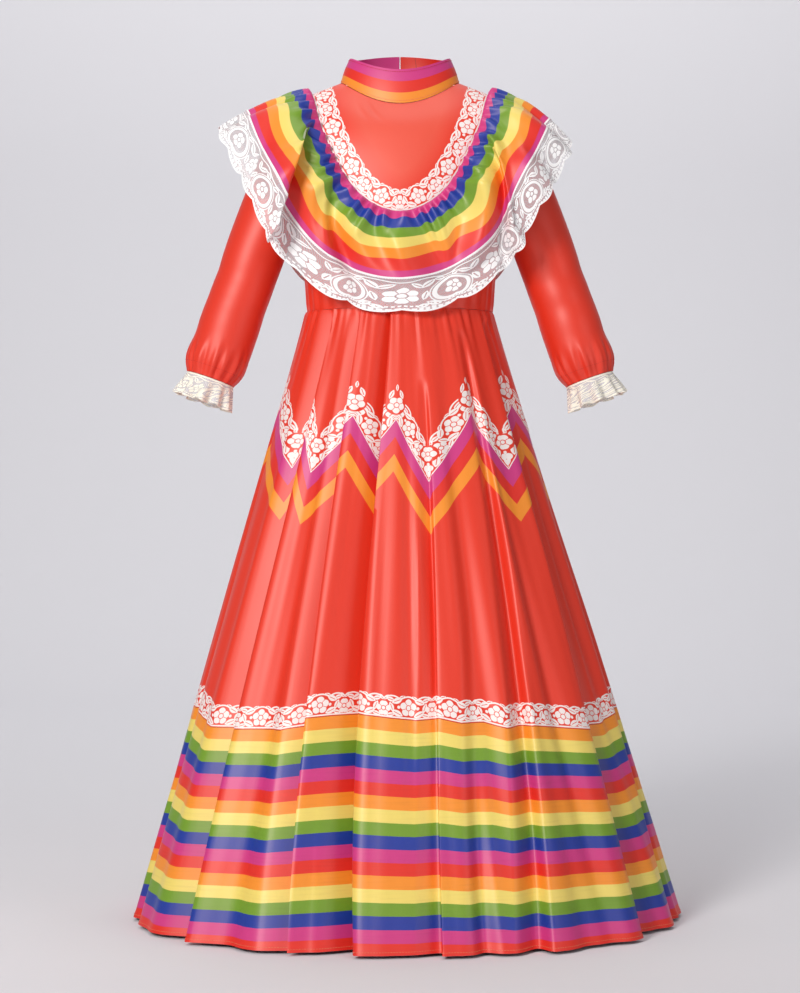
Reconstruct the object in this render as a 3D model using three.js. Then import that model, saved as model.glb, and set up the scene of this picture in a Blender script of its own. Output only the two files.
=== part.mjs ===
import * as THREE from 'three';

// A child's long folk dress in the shape it has when worn: stand collar, gathered flounce with a lace edge,
// long sleeves with lace cuffs, and a flared skirt with a separate striped band at the hem.
// Millimetres, +Z up. The front faces -Y and the wearer's left is +X. The origin is level with the base of
// the neck, where the shoulders carry the dress. Angles run round the body from the centre front, in degrees,
// positive to the wearer's left.

const WALL = 1.6;                     // cloth with its seam allowances
const SEAM_GAP = 0.32;                // between two pieces that are sewn together
const SIDE_SEAM = 90;                 // bodice side and shoulder seams
const SKIRT_SEAM = 97;                // skirt side seams, a little behind the side

const WAIST_Z = -297;
const BAND_SEAM_Z = -797;
const HEM_Z = -1070;

// The bodice, as rings from the neck edge to the waist. frontZ, sideZ and backZ are the ring's heights.
const BODY_RINGS = [
  { level: 0.00, halfWidth: 76.5, front: 56, back: 50, frontZ: -35, sideZ: 0, backZ: 8 },
  { level: 0.16, halfWidth: 116, front: 76, back: 72, frontZ: -64, sideZ: -15.5, backZ: -20 },
  { level: 0.30, halfWidth: 152, front: 86, back: 84, frontZ: -96, sideZ: -32, backZ: -64 },
  { level: 0.46, halfWidth: 146, front: 92, back: 90, frontZ: -134, sideZ: -96, backZ: -116 },
  { level: 0.64, halfWidth: 133, front: 94, back: 92, frontZ: -176, sideZ: -165, backZ: -170 },
  { level: 0.84, halfWidth: 125, front: 92, back: 91, frontZ: -240, sideZ: -238, backZ: -239 },
  { level: 1.00, halfWidth: 120, front: 88, back: 88, frontZ: -297, sideZ: -297, backZ: -297 },
];
const ARMHOLE = { level: 0.47, halfHeight: 0.17, halfAngle: 28, steps: 10 };
const NECK_ROWS = 3;                  // rows of the bodice above the armhole
const WAIST_ROWS = 3;                 // and below it
const PANEL_COLUMNS = 16;

const COLLAR_TOP = { halfWidth: 65, front: 50, back: 46, frontZ: 10, sideZ: 32, backZ: 44 };
const COLLAR_LIFT = 1.1;              // clears the bodice's neck edge
const COLLAR_OPENING = 1.2;           // half the gap at the centre back
const COLLAR_COLUMNS = 32;

// The sleeve: a straight tube from the armhole to an elastic-gathered cuff.
const SLEEVE_HEAD = new THREE.Vector3(147, 0, -103);
const CUFF_CENTRE = new THREE.Vector3(245, -14, -384);
const SLEEVE_ROWS = [
  { along: 0.00, radius: 44 },
  { along: 0.12, radius: 42 },
  { along: 0.26, radius: 40 },
  { along: 0.42, radius: 38.5 },
  { along: 0.62, radius: 38 },
  { along: 0.80, radius: 39 },
  { along: 0.93, radius: 38 },
  { along: 1.00, radius: 31 },
];
const SLEEVE_HEAD_BLEND = 0.42;       // share of the sleeve that turns from the armhole's shape to round
const UNDERARM_LIFT = 2.0;            // the sleeve's underside starts this far out from the bodice
const UNDERARM_HOLD = 1.5;            // and keeps to the armhole's shape for longer

const CUFF_LACE = { depth: 32, radius: 31, flare: 6, ruffles: 12, ruffleDepth: 3.4, seam: 0.95 };

// The flounce hangs from a U-shaped seam round the yoke, the same at the front and the back.
const FLOUNCE_SEAM = [
  { angle: -12, level: 0.620 },
  { angle: 0, level: 0.644 },
  { angle: 12, level: 0.620 },
  { angle: 22, level: 0.558 },
  { angle: 30, level: 0.460 },
  { angle: 40, level: 0.308 },
  { angle: 55, level: 0.214 },
  { angle: 76, level: 0.163 },
  { angle: 90, level: 0.156 },
  { angle: 104, level: 0.163 },
];
const FLOUNCE_SEAT = WALL + 0.6;        // the gathered head over the bodice, middle to middle
const FLOUNCE_DEPTH = 88;
const FLOUNCE_LACE = { seam: 0.75, depth: 43, scallop: 5, scallops: 40 };
const FLOUNCE_OPENING = 1.4;          // half the gap at the centre back
const FLOUNCE_COLUMNS = 240;
const FLOUNCE_ROWS = [0, 0.14, 0.4, 0.7, 1];
const GATHERS = { count: 48, height: 4, reach: 0.5 };
const FLOUNCE_PUFF = 20;              // degrees that the gathered head stands off the body
const FLOUNCE_DROOP = 0.40;           // share of straight down in the direction of the lower edge
const DROOP_LEAN = 0.50;              // more droop on the wearer's left shoulder, less on the right
const RIPPLES = { count: 18, height: 3 };
// It stands off the body more where it turns over the shoulders: at and width are along the seam.
const FLOUNCE_STAND = { degrees: 42, at: 124, width: 95 };
// Larger folds of the flounce, in millimetres along the seam from the centre front: where each starts at
// the seam and ends at the cloth's edge. A negative depth is a ridge.
const FLOUNCE_FOLDS = [
  { top: -462, edge: -478, width: 22, depth: 7, lean: 0 },
  { top: -418, edge: -440, width: 26, depth: 11, lean: -12 },
  { top: -368, edge: -395, width: 26, depth: 10, lean: 10 },
  { top: -322, edge: -340, width: 24, depth: 9, lean: -8 },
  { top: -268, edge: -272, width: 24, depth: 8, lean: 6 },
  { top: -224, edge: -212, width: 24, depth: 9, lean: -6 },
  { top: -186, edge: -112, width: 46, depth: -16, lean: 16 },
  { top: -160, edge: -80, width: 30, depth: 14, lean: -44 },
  { top: -84, edge: -24, width: 20, depth: 10, lean: -10 },
  { top: -30, edge: -4, width: 16, depth: 6, lean: 6 },
  { top: 12, edge: 20, width: 20, depth: 10, lean: 8 },
  { top: 62, edge: 42, width: 18, depth: 6, lean: -5 },
  { top: 118, edge: 50, width: 26, depth: -12, lean: 8 },
  { top: 146, edge: 70, width: 28, depth: 16, lean: 20 },
  { top: 186, edge: 118, width: 26, depth: 9, lean: -8 },
  { top: 222, edge: 205, width: 24, depth: 9, lean: 8 },
  { top: 268, edge: 272, width: 24, depth: 8, lean: -6 },
  { top: 322, edge: 345, width: 26, depth: 10, lean: 8 },
  { top: 372, edge: 398, width: 26, depth: 11, lean: -10 },
  { top: 420, edge: 438, width: 24, depth: 10, lean: 10 },
  { top: 464, edge: 478, width: 20, depth: 6, lean: 0 },
];

// The skirt's outline in plan at the waist and at the hem.
const SKIRT_WAIST = { halfWidth: 120, front: 88, back: 88, square: 2.0, shift: -1 };
const SKIRT_HEM = { halfWidth: 350, front: 322, back: 300, square: 2.3, shift: 9 };
const WAIST_SEAM_GAP = 0.45;

// The skirt's folds. top, middle and hem are the angles of the fold's edge down the skirt, start is where it
// begins (0 waist, 1 hem), growth is how late it opens out, and width, depth and lean are millimetres at the
// hem. A positive lean tucks the valley under the panel on the wearer's left of it.
const SKIRT_FOLDS = [
  { top: -170, middle: -169, hem: -168, start: 0.00, growth: 0.6, width: 24, depth: 28, lean: 14 },
  { top: -150, middle: -151, hem: -152, start: 0.05, growth: 0.8, width: 20, depth: 18, lean: -10 },
  { top: -133, middle: -133, hem: -134, start: 0.00, growth: 0.6, width: 26, depth: 36, lean: 20 },
  { top: -112, middle: -113, hem: -114, start: 0.10, growth: 0.8, width: 22, depth: 20, lean: -10 },
  { top: -80, middle: -75, hem: -71, start: 0.15, growth: 0.7, width: 24, depth: 34, lean: 18 },
  { top: -51, middle: -50.5, hem: -48.5, start: 0.00, growth: 0.4, width: 30, depth: 42, lean: 32 },
  { top: -30, middle: -28.8, hem: -24.5, start: 0.00, growth: 0.4, width: 22, depth: 24, lean: 24 },
  { top: -5, middle: -12.2, hem: -10.2, start: 0.00, growth: 0.3, width: 27, depth: 46, lean: 36 },
  { top: 20, middle: 11.3, hem: 7.5, start: 0.12, growth: 0.6, width: 18, depth: 16, lean: 16 },
  { top: 35, middle: 22, hem: 17, start: 0.50, growth: 0.85, width: 20, depth: 10, lean: 0 },
  { top: 50, middle: 39.5, hem: 30, start: 0.04, growth: 0.5, width: 25, depth: 22, lean: 14 },
  { top: 64, middle: 58.5, hem: 53.5, start: 0.02, growth: 0.4, width: 28, depth: 38, lean: -28 },
  { top: 84, middle: 78, hem: 71, start: 0.20, growth: 0.7, width: 24, depth: 30, lean: -18 },
  { top: 112, middle: 113, hem: 114, start: 0.10, growth: 0.8, width: 24, depth: 26, lean: 14 },
  { top: 132, middle: 131, hem: 131, start: 0.00, growth: 0.6, width: 20, depth: 18, lean: -10 },
  { top: 149, middle: 149, hem: 149, start: 0.05, growth: 0.6, width: 26, depth: 38, lean: -22 },
  { top: 169, middle: 168, hem: 167, start: 0.00, growth: 0.7, width: 22, depth: 24, lean: 12 },
];
// Broad soft hollows between the folds.
const SKIRT_HOLLOWS = [
  { top: -162, middle: -161, hem: -160, width: 60, depth: 12 },
  { top: -122, middle: -122, hem: -122, width: 55, depth: 10 },
  { top: -96, middle: -94, hem: -90, width: 60, depth: 12 },
  { top: -46, middle: -42, hem: -40, width: 60, depth: 16 },
  { top: -16, middle: -20, hem: -18, width: 56, depth: 16 },
  { top: 10, middle: 3, hem: 0, width: 44, depth: 7 },
  { top: 30, middle: 24, hem: 18, width: 44, depth: 8 },
  { top: 57, middle: 48, hem: 42, width: 56, depth: 13 },
  { top: 76, middle: 68, hem: 62, width: 50, depth: 13 },
  { top: 98, middle: 96, hem: 93, width: 60, depth: 12 },
  { top: 123, middle: 122, hem: 122, width: 55, depth: 10 },
  { top: 159, middle: 158, hem: 158, width: 60, depth: 12 },
];
const FOLD_SAMPLES = [-1, -0.5, 0, 0.5, 1];
const FOLD_WIDTH_AT_WAIST = 0.35;     // share of the hem width
const PANEL_STEP = 9;                 // degrees between columns where the cloth is smooth
const SKIRT_ROWS = [0, 0.05, 0.16, 0.4, 0.7, 1];
const BAND_ROWS = [0, 0.5, 1];

const SATIN_RED = new THREE.MeshStandardMaterial({ color: 0xe8503a, roughness: 0.5, metalness: 0 });
const STRIPED = new THREE.MeshStandardMaterial({ color: 0xe5a43c, roughness: 0.5, metalness: 0 });
const LACE = new THREE.MeshStandardMaterial({ color: 0xf3efec, roughness: 0.8, metalness: 0 });

const radians = THREE.MathUtils.degToRad;
const lerp = THREE.MathUtils.lerp;
const smooth = x => THREE.MathUtils.smoothstep(x, 0, 1);

// A smooth curve through one column of a table, at a value of its key column.
function follow(rows, key, column, at) {
  let i = 0;
  while (i < rows.length - 2 && at > rows[i + 1][key]) i += 1;
  const slope = k => {
    const before = rows[Math.max(k - 1, 0)];
    const after = rows[Math.min(k + 1, rows.length - 1)];
    return (after[column] - before[column]) / (after[key] - before[key]);
  };
  const step = rows[i + 1][key] - rows[i][key];
  const t = (at - rows[i][key]) / step;
  const t2 = t * t;
  const t3 = t2 * t;
  return (2 * t3 - 3 * t2 + 1) * rows[i][column] + (t3 - 2 * t2 + t) * step * slope(i)
    + (3 * t2 - 2 * t3) * rows[i + 1][column] + (t3 - t2) * step * slope(i + 1);
}

// The outward normal of a surface point(a, b), whose a runs round the body and b runs down it.
function normalOf(point, a, b, stepA, stepB) {
  const across = point(a + stepA, b).sub(point(a - stepA, b));
  const down = point(a, b + stepB).sub(point(a, b - stepB));
  return down.cross(across).normalize();
}

// A closed wall of cloth from rows of { at, normal }. A tube's rows close round; a panel's have two ends.
function clothWall(rows, isTube) {
  const columns = rows[0].length;
  const positions = [];
  for (const side of [0.5, -0.5]) {
    for (const row of rows) {
      for (const { at, normal } of row) {
        const p = at.clone().addScaledVector(normal, side * WALL);
        positions.push(p.x, p.y, p.z);
      }
    }
  }
  const layer = rows.length * columns;
  const id = (i, j, inner) => i * columns + (j % columns) + (inner ? layer : 0);
  const faces = [];
  const quad = (a, b, c, d) => faces.push(a, b, c, a, c, d);
  const spans = isTube ? columns : columns - 1;
  const last = rows.length - 1;
  for (let j = 0; j < spans; j += 1) {
    for (let i = 0; i < last; i += 1) {
      quad(id(i, j), id(i + 1, j), id(i + 1, j + 1), id(i, j + 1));
      quad(id(i, j, true), id(i, j + 1, true), id(i + 1, j + 1, true), id(i + 1, j, true));
    }
    quad(id(0, j), id(0, j + 1), id(0, j + 1, true), id(0, j, true));
    quad(id(last, j), id(last, j, true), id(last, j + 1, true), id(last, j + 1));
  }
  if (!isTube) {
    for (let i = 0; i < last; i += 1) {
      quad(id(i, 0), id(i, 0, true), id(i + 1, 0, true), id(i + 1, 0));
      quad(id(i, spans), id(i + 1, spans), id(i + 1, spans, true), id(i, spans, true));
    }
  }
  const geometry = new THREE.BufferGeometry();
  geometry.setAttribute('position', new THREE.Float32BufferAttribute(positions, 3));
  geometry.setIndex(faces);
  return geometry;
}

function piece(name, geometry, material) {
  const mesh = new THREE.Mesh(geometry, material);
  mesh.name = name;
  dress.add(mesh);
}

// A point of an oval ring whose height differs at the front, the sides and the back.
function ovalPoint(ring, angle) {
  const facing = Math.cos(radians(angle));
  const [depth, endZ] = facing > 0 ? [ring.front, ring.frontZ] : [ring.back, ring.backZ];
  const z = lerp(ring.sideZ, endZ, facing * facing);
  return new THREE.Vector3(ring.halfWidth * Math.sin(radians(angle)), -depth * facing, z);
}

// ---- bodice ----

function bodyPoint(angle, level) {
  const ring = {};
  for (const column of ['halfWidth', 'front', 'back', 'frontZ', 'sideZ', 'backZ']) {
    ring[column] = follow(BODY_RINGS, 'level', column, level);
  }
  return ovalPoint(ring, angle);
}

const bodyNormal = (angle, level) => normalOf(bodyPoint, angle, level, 0.5, 0.004);

// The levels of a bodice panel's rows: even above and below the armhole, and the armhole's own points.
function bodiceLevels() {
  const { level, halfHeight, steps } = ARMHOLE;
  const levels = [];
  for (let i = 0; i < NECK_ROWS; i += 1) levels.push((level - halfHeight) * i / NECK_ROWS);
  for (let i = 0; i <= steps; i += 1) levels.push(level - halfHeight * Math.cos(Math.PI * i / steps));
  for (let i = 1; i <= WAIST_ROWS; i += 1) {
    levels.push(lerp(level + halfHeight, 1, i / WAIST_ROWS));
  }
  return levels;
}

// How far a panel's edge stays from the side seam, in degrees: the armhole's half oval.
function armholeInset(level) {
  const t = (level - ARMHOLE.level) / ARMHOLE.halfHeight;
  return ARMHOLE.halfAngle * Math.sqrt(Math.max(0, 1 - t * t));
}

// A bodice panel between two seams. An edge on a side seam follows the armhole; others stay straight.
function bodicePanel(from, to, columns) {
  const edgeAt = (seam, level, inward) => {
    const radius = bodyPoint(seam, level).setZ(0).length();
    const nudge = (SEAM_GAP / 2) / radians(radius);
    const inset = Math.abs(seam) === SIDE_SEAM ? armholeInset(level) : 0;
    return seam + inward * (nudge + inset);
  };
  const rows = bodiceLevels().map(level => {
    const left = edgeAt(from, level, 1);
    const right = edgeAt(to, level, -1);
    const row = [];
    for (let j = 0; j <= columns; j += 1) {
      const angle = lerp(left, right, j / columns);
      row.push({ at: bodyPoint(angle, level), normal: bodyNormal(angle, level) });
    }
    return row;
  });
  return clothWall(rows, false);
}

function collar() {
  const neck = BODY_RINGS[0];
  const point = (angle, rise) => {
    const low = ovalPoint(neck, angle);
    low.z += COLLAR_LIFT;
    return low.lerp(ovalPoint(COLLAR_TOP, angle), rise);
  };
  const back = 180 - COLLAR_OPENING / radians(neck.back);
  const rows = [1, 0.5, 0].map(rise => {
    const row = [];
    for (let j = 0; j <= COLLAR_COLUMNS; j += 1) {
      const angle = lerp(-back, back, j / COLLAR_COLUMNS);
      const inward = normalOf(point, angle, rise, 0.5, 0.02);
      row.push({ at: point(angle, rise), normal: inward.negate() });
    }
    return row;
  });
  return clothWall(rows, false);
}

// ---- sleeves ----

// A point of the wearer's left sleeve. round is 0 on top of the arm, 90 at the front and 180 at the underarm.
function sleevePoint(round, along) {
  const top = Math.cos(radians(round));
  const front = Math.sin(radians(round));
  const seamLevel = ARMHOLE.level - ARMHOLE.halfHeight * top;
  const seamAngle = SIDE_SEAM - ARMHOLE.halfAngle * front;
  const seam = bodyPoint(seamAngle, seamLevel);
  const hole = bodyPoint(SIDE_SEAM, ARMHOLE.level);
  seam.addScaledVector(hole.sub(seam).normalize(), SEAM_GAP);
  seam.addScaledVector(bodyNormal(seamAngle, seamLevel), UNDERARM_LIFT * (1 - top) / 2);
  seam.x += SEAM_GAP;
  const axis = CUFF_CENTRE.clone().sub(SLEEVE_HEAD).normalize();
  const forward = new THREE.Vector3(0, -1, 0);
  const outward = new THREE.Vector3().crossVectors(forward, axis).normalize();
  forward.crossVectors(axis, outward);
  const radius = follow(SLEEVE_ROWS, 'along', 'radius', along);
  const tube = SLEEVE_HEAD.clone().lerp(CUFF_CENTRE, along);
  tube.addScaledVector(outward, radius * top).addScaledVector(forward, radius * front);
  return seam.lerp(tube, smooth(along / SLEEVE_HEAD_BLEND) ** (1 + UNDERARM_HOLD * (1 - top) / 2));
}

// The cuff's lace: a short flared ruffle below the gathered end of the sleeve.
function cuffLacePoint(round, drop) {
  const axis = CUFF_CENTRE.clone().sub(SLEEVE_HEAD).normalize();
  const forward = new THREE.Vector3(0, -1, 0);
  const outward = new THREE.Vector3().crossVectors(forward, axis).normalize();
  forward.crossVectors(axis, outward);
  const { depth, flare, ruffles, ruffleDepth, seam } = CUFF_LACE;
  const radius = CUFF_LACE.radius + flare * drop + ruffleDepth * drop * Math.cos(radians(round) * ruffles);
  const at = CUFF_CENTRE.clone().addScaledVector(axis, seam + depth * drop);
  at.addScaledVector(outward, radius * Math.cos(radians(round)));
  return at.addScaledVector(forward, radius * Math.sin(radians(round)));
}

// A tube round the arm; the wearer's right arm mirrors the left, so its rows run the other way.
function armTube(point, levels, columns, isRight) {
  const rows = levels.map(level => {
    const row = [];
    for (let j = 0; j < columns; j += 1) {
      const round = (isRight ? j : -j) * 360 / columns;
      const normal = normalOf((a, b) => point(-a, b), -round, level, 1, 0.01);
      const at = point(round, level);
      if (isRight) {
        at.x *= -1;
        normal.x *= -1;
      }
      row.push({ at, normal });
    }
    return row;
  });
  return clothWall(rows, true);
}

// ---- flounce ----

const seamLevelAt = angle => {
  const turn = Math.abs(angle);
  return follow(FLOUNCE_SEAM, 'angle', 'level', turn > 90 ? 180 - turn : turn);
};
const seamPoint = angle => bodyPoint(angle, seamLevelAt(angle));

// The flounce's seam from centre back round to centre back: its length, and the body angle at a share of it.
const flounceSeam = (() => {
  const fine = 720;
  const back = 180 - FLOUNCE_OPENING / radians(90);
  const lengths = [0];
  for (let k = 1; k <= fine; k += 1) {
    const before = seamPoint(lerp(-back, back, (k - 1) / fine));
    lengths.push(lengths[k - 1] + seamPoint(lerp(-back, back, k / fine)).distanceTo(before));
  }
  const angleAt = share => {
    const wanted = share * lengths[fine];
    let k = 1;
    while (k < fine && lengths[k] < wanted) k += 1;
    const part = (wanted - lengths[k - 1]) / (lengths[k] - lengths[k - 1]);
    return lerp(-back, back, (k - 1 + part) / fine);
  };
  return { length: lengths[fine], angleAt };
})();

// One fold: a smooth valley that is deepest at its middle. x is measured in half widths.
const valley = x => (Math.abs(x) < 1 ? Math.cos(Math.PI * x / 2) ** 2 : 0);

// The flounce without its folds: it stands off at the gathered head, then bends towards the floor.
function flounceLine(angle, along, drop) {
  const level = seamLevelAt(angle);
  const out = bodyNormal(angle, level);
  const round = seamPoint(angle + 0.5).sub(seamPoint(angle - 0.5)).normalize();
  const fall = new THREE.Vector3().crossVectors(round, out);
  const at = seamPoint(angle).addScaledVector(out, FLOUNCE_SEAT);
  const steps = 12;
  const droop = FLOUNCE_DROOP * (1 + DROOP_LEAN * Math.sin(radians(angle)));
  const stand = FLOUNCE_STAND.degrees * valley((Math.abs(along) - FLOUNCE_STAND.at) / FLOUNCE_STAND.width);
  const heading = new THREE.Vector3();
  for (let k = 0; k < steps; k += 1) {
    const here = drop * (k + 0.5) / steps;
    const puff = radians(FLOUNCE_PUFF * (1 - smooth(here / 0.7)) + stand * (1 - smooth((here - 0.6) / 0.7)));
    heading.copy(fall).multiplyScalar(Math.cos(puff)).addScaledVector(out, Math.sin(puff));
    heading.z -= droop * (smooth(here) + Math.max(0, here - 1));
    at.addScaledVector(heading.normalize(), FLOUNCE_DEPTH * drop / steps);
  }
  return { at, round, out: new THREE.Vector3().crossVectors(heading, round) };
}

function flouncePoint(share, drop) {
  const angle = flounceSeam.angleAt(THREE.MathUtils.clamp(share, 0, 1));
  const along = (share - 0.5) * flounceSeam.length;
  const { at, round, out } = flounceLine(angle, along, drop);
  const gather = 1 + Math.cos(2 * Math.PI * GATHERS.count * share);
  const fade = 1 - smooth(drop / GATHERS.reach);
  let lift = GATHERS.height * fade * gather / 2;
  const spread = smooth(drop * 1.25);
  lift += RIPPLES.height * spread * Math.cos(2 * Math.PI * RIPPLES.count * share);
  let slide = 0;
  for (const fold of FLOUNCE_FOLDS) {
    const middle = lerp(fold.top, fold.edge, Math.min(drop, 1.2));
    const amount = valley((along - middle) / fold.width) * spread;
    lift -= fold.depth * amount;
    slide += fold.lean * amount;
  }
  lift += 4 * spread;
  return at.addScaledVector(out, lift).addScaledVector(round, slide);
}

function flounceWall(dropsAt) {
  const rows = dropsAt(0).map(() => []);
  for (let j = 0; j <= FLOUNCE_COLUMNS; j += 1) {
    const share = j / FLOUNCE_COLUMNS;
    dropsAt(share).forEach((drop, i) => {
      const inside = THREE.MathUtils.clamp(share, 0.001, 0.999);
      const normal = normalOf(flouncePoint, inside, Math.max(drop, 0.01), 0.001, 0.01);
      rows[i].push({ at: flouncePoint(share, drop), normal });
    });
  }
  return clothWall(rows, false);
}

// Rows of the lace: its straight top and its scalloped lower edge.
function laceDrops(share) {
  const cusp = 1 - Math.abs(Math.sin(Math.PI * FLOUNCE_LACE.scallops * share));
  const depth = FLOUNCE_LACE.depth - FLOUNCE_LACE.scallop * cusp;
  return [1 + FLOUNCE_LACE.seam / FLOUNCE_DEPTH, 1 + depth / FLOUNCE_DEPTH];
}

// ---- skirt ----

// The plan radius of the smooth skirt at an angle: an oval that squares up a little towards the hem.
function skirtRadius(angle, down) {
  const mix = key => lerp(SKIRT_WAIST[key], SKIRT_HEM[key], down);
  const square = mix('square');
  const side = Math.abs(Math.sin(radians(angle))) / mix('halfWidth');
  const facing = Math.cos(radians(angle));
  const depth = facing > 0 ? mix('front') : mix('back');
  return (side ** square + (Math.abs(facing) / depth) ** square) ** (-1 / square);
}

// The angle that a fold's line or a hollow's middle has at a height.
function alongFold(fold, down) {
  return fold.top * (1 - down) * (1 - 2 * down) + fold.middle * 4 * down * (1 - down)
    + fold.hem * down * (2 * down - 1);
}

// Where a fold lies at a height: its middle in degrees, its half width in degrees, and how far it has grown.
function foldAt(fold, down) {
  const edge = alongFold(fold, down);
  const scale = lerp(FOLD_WIDTH_AT_WAIST, 1, down);
  const degree = radians(skirtRadius(edge, down));
  const offset = Math.sign(fold.lean) * (fold.width + Math.abs(fold.lean)) / 2;
  const grown = Math.max(0, (down - fold.start) / (1 - fold.start)) ** fold.growth;
  return { middle: edge - offset * scale / degree, half: fold.width * scale / degree, grown };
}

function skirtPoint(angle, down) {
  const radius = skirtRadius(angle, down);
  let depth = 0;
  let slide = 0;
  for (const fold of SKIRT_FOLDS) {
    const { middle, half, grown } = foldAt(fold, down);
    const amount = valley((angle - middle) / half) * grown;
    depth += fold.depth * amount;
    slide += fold.lean * amount;
  }
  for (const hollow of SKIRT_HOLLOWS) {
    const middle = alongFold(hollow, down);
    const half = hollow.width * lerp(FOLD_WIDTH_AT_WAIST, 1, down) / radians(skirtRadius(middle, down));
    depth += hollow.depth * valley((angle - middle) / half) * Math.sqrt(Math.max(0, down));
  }
  const turn = radians(angle);
  const reach = radius - depth;
  const x = reach * Math.sin(turn) + slide * Math.cos(turn) + lerp(SKIRT_WAIST.shift, SKIRT_HEM.shift, down);
  const y = -reach * Math.cos(turn) + slide * Math.sin(turn);
  return new THREE.Vector3(x, y, lerp(WAIST_Z, HEM_Z, down));
}

// The columns of a skirt panel between two seams: each fold brings its own, and even ones lie between.
function panelAngles(from, to, down) {
  const stations = [{ low: from, high: from, samples: [0] }];
  for (const fold of SKIRT_FOLDS) {
    const seat = ((fold.hem - from) % 360 + 360) % 360 + from;
    if (seat >= to) continue;
    const { middle, half } = foldAt(fold, down);
    const centre = middle + seat - fold.hem;
    stations.push({ low: centre - half, high: centre + half, samples: FOLD_SAMPLES, seat });
  }
  stations.sort((a, b) => a.low - b.low);
  stations.push({ low: to, high: to, samples: [0] });
  const angles = [];
  stations.forEach((station, i) => {
    if (i > 0) {
      const before = stations[i - 1];
      const hemGap = (station.seat ?? to) - (before.seat ?? from);
      const count = Math.max(1, Math.round(hemGap / PANEL_STEP) - 1);
      for (let k = 1; k <= count; k += 1) angles.push(lerp(before.high, station.low, k / (count + 1)));
    }
    const centre = (station.low + station.high) / 2;
    for (const t of station.samples) angles.push(centre + t * (station.high - station.low) / 2);
  });
  return angles;
}

// A panel of the skirt. Its wall is measured level, so the pieces meet flat at their seams.
function skirtPanel(from, to, top, bottom, shares) {
  const rows = shares.map(share => {
    const down = lerp(top, bottom, share);
    const angles = panelAngles(from, to, down);
    return angles.map((raw, j) => {
      let angle = raw;
      const nudge = (SEAM_GAP / 2) / radians(skirtRadius(raw, down));
      if (j === 0) angle += nudge;
      if (j === angles.length - 1) angle -= nudge;
      const turn = angle > 180 ? angle - 360 : angle;
      const level = normalOf(skirtPoint, turn, down, 0.2, 0.004).setZ(0).normalize();
      return { at: skirtPoint(turn, down), normal: level };
    });
  });
  return clothWall(rows, false);
}

// ---- the dress ----

const dress = new THREE.Group();

piece('collar', collar(), STRIPED);
piece('bodice_front', bodicePanel(-SIDE_SEAM, SIDE_SEAM, PANEL_COLUMNS), SATIN_RED);
piece('bodice_back_left', bodicePanel(SIDE_SEAM, 180, PANEL_COLUMNS / 2), SATIN_RED);
piece('bodice_back_right', bodicePanel(-180, -SIDE_SEAM, PANEL_COLUMNS / 2), SATIN_RED);

const sleeveLevels = SLEEVE_ROWS.map(row => row.along);
for (const [side, isRight] of [['left', false], ['right', true]]) {
  piece(`sleeve_${side}`, armTube(sleevePoint, sleeveLevels, 2 * ARMHOLE.steps, isRight), SATIN_RED);
  piece(`cuff_lace_${side}`, armTube(cuffLacePoint, [0, 1], 4 * CUFF_LACE.ruffles, isRight), LACE);
}

piece('flounce', flounceWall(() => FLOUNCE_ROWS), STRIPED);
piece('flounce_lace', flounceWall(laceDrops), LACE);

const heightShare = z => (z - WAIST_Z) / (HEM_Z - WAIST_Z);
const skirtTop = heightShare(WAIST_Z - WAIST_SEAM_GAP);
const seamAbove = heightShare(BAND_SEAM_Z + SEAM_GAP / 2);
const seamBelow = heightShare(BAND_SEAM_Z - SEAM_GAP / 2);
const skirtPanels = [['front', -SKIRT_SEAM, SKIRT_SEAM], ['back', SKIRT_SEAM, 360 - SKIRT_SEAM]];
for (const [side, from, to] of skirtPanels) {
  piece(`skirt_${side}`, skirtPanel(from, to, skirtTop, seamAbove, SKIRT_ROWS), SATIN_RED);
  piece(`hem_band_${side}`, skirtPanel(from, to, seamBelow, 1, BAND_ROWS), STRIPED);
}

export default dress;
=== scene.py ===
from math import cos, pi, radians, sin

import bpy
import numpy as np
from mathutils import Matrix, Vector


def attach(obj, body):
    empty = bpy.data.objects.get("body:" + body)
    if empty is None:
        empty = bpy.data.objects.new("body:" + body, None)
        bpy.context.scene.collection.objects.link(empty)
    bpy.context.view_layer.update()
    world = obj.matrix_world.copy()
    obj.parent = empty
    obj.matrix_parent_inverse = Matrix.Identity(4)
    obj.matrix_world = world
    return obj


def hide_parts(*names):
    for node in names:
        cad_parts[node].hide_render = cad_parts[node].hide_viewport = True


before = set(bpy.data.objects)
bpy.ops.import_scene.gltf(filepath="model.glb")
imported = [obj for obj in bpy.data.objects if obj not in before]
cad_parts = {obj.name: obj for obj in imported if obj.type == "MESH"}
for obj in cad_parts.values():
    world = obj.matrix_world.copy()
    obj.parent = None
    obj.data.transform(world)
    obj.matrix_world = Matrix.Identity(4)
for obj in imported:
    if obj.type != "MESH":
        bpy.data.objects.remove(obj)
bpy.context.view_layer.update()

# A child's long folk dress in the shape it has when worn. Shapes are worked out in millimetres in the
# frame of the solids and built in metres: +Z up, the front faces -Y, the wearer's left is +X. Angles run
# round the body from the centre front, in degrees, positive to the wearer's left.

MM = 0.001


# ---------------------------------------------------------------- sizes

def table(columns, *rows):
    """Rows of values under named columns."""
    return [dict(zip(columns.split(), row)) for row in rows]


CLOTH = 1.0                 # the walls that show: satin with its turned edges
LACE_CLOTH = 0.7
WAIST_Z, BAND_SEAM_Z, HEM_Z = -297.0, -797.0, -1070.0
SKIRT_HEIGHT = WAIST_Z - HEM_Z
SKIRT_SEAM = 97.0           # the angle of the side seams
SLANT = 1.045               # cloth length down the skirt for each millimetre of height

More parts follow.
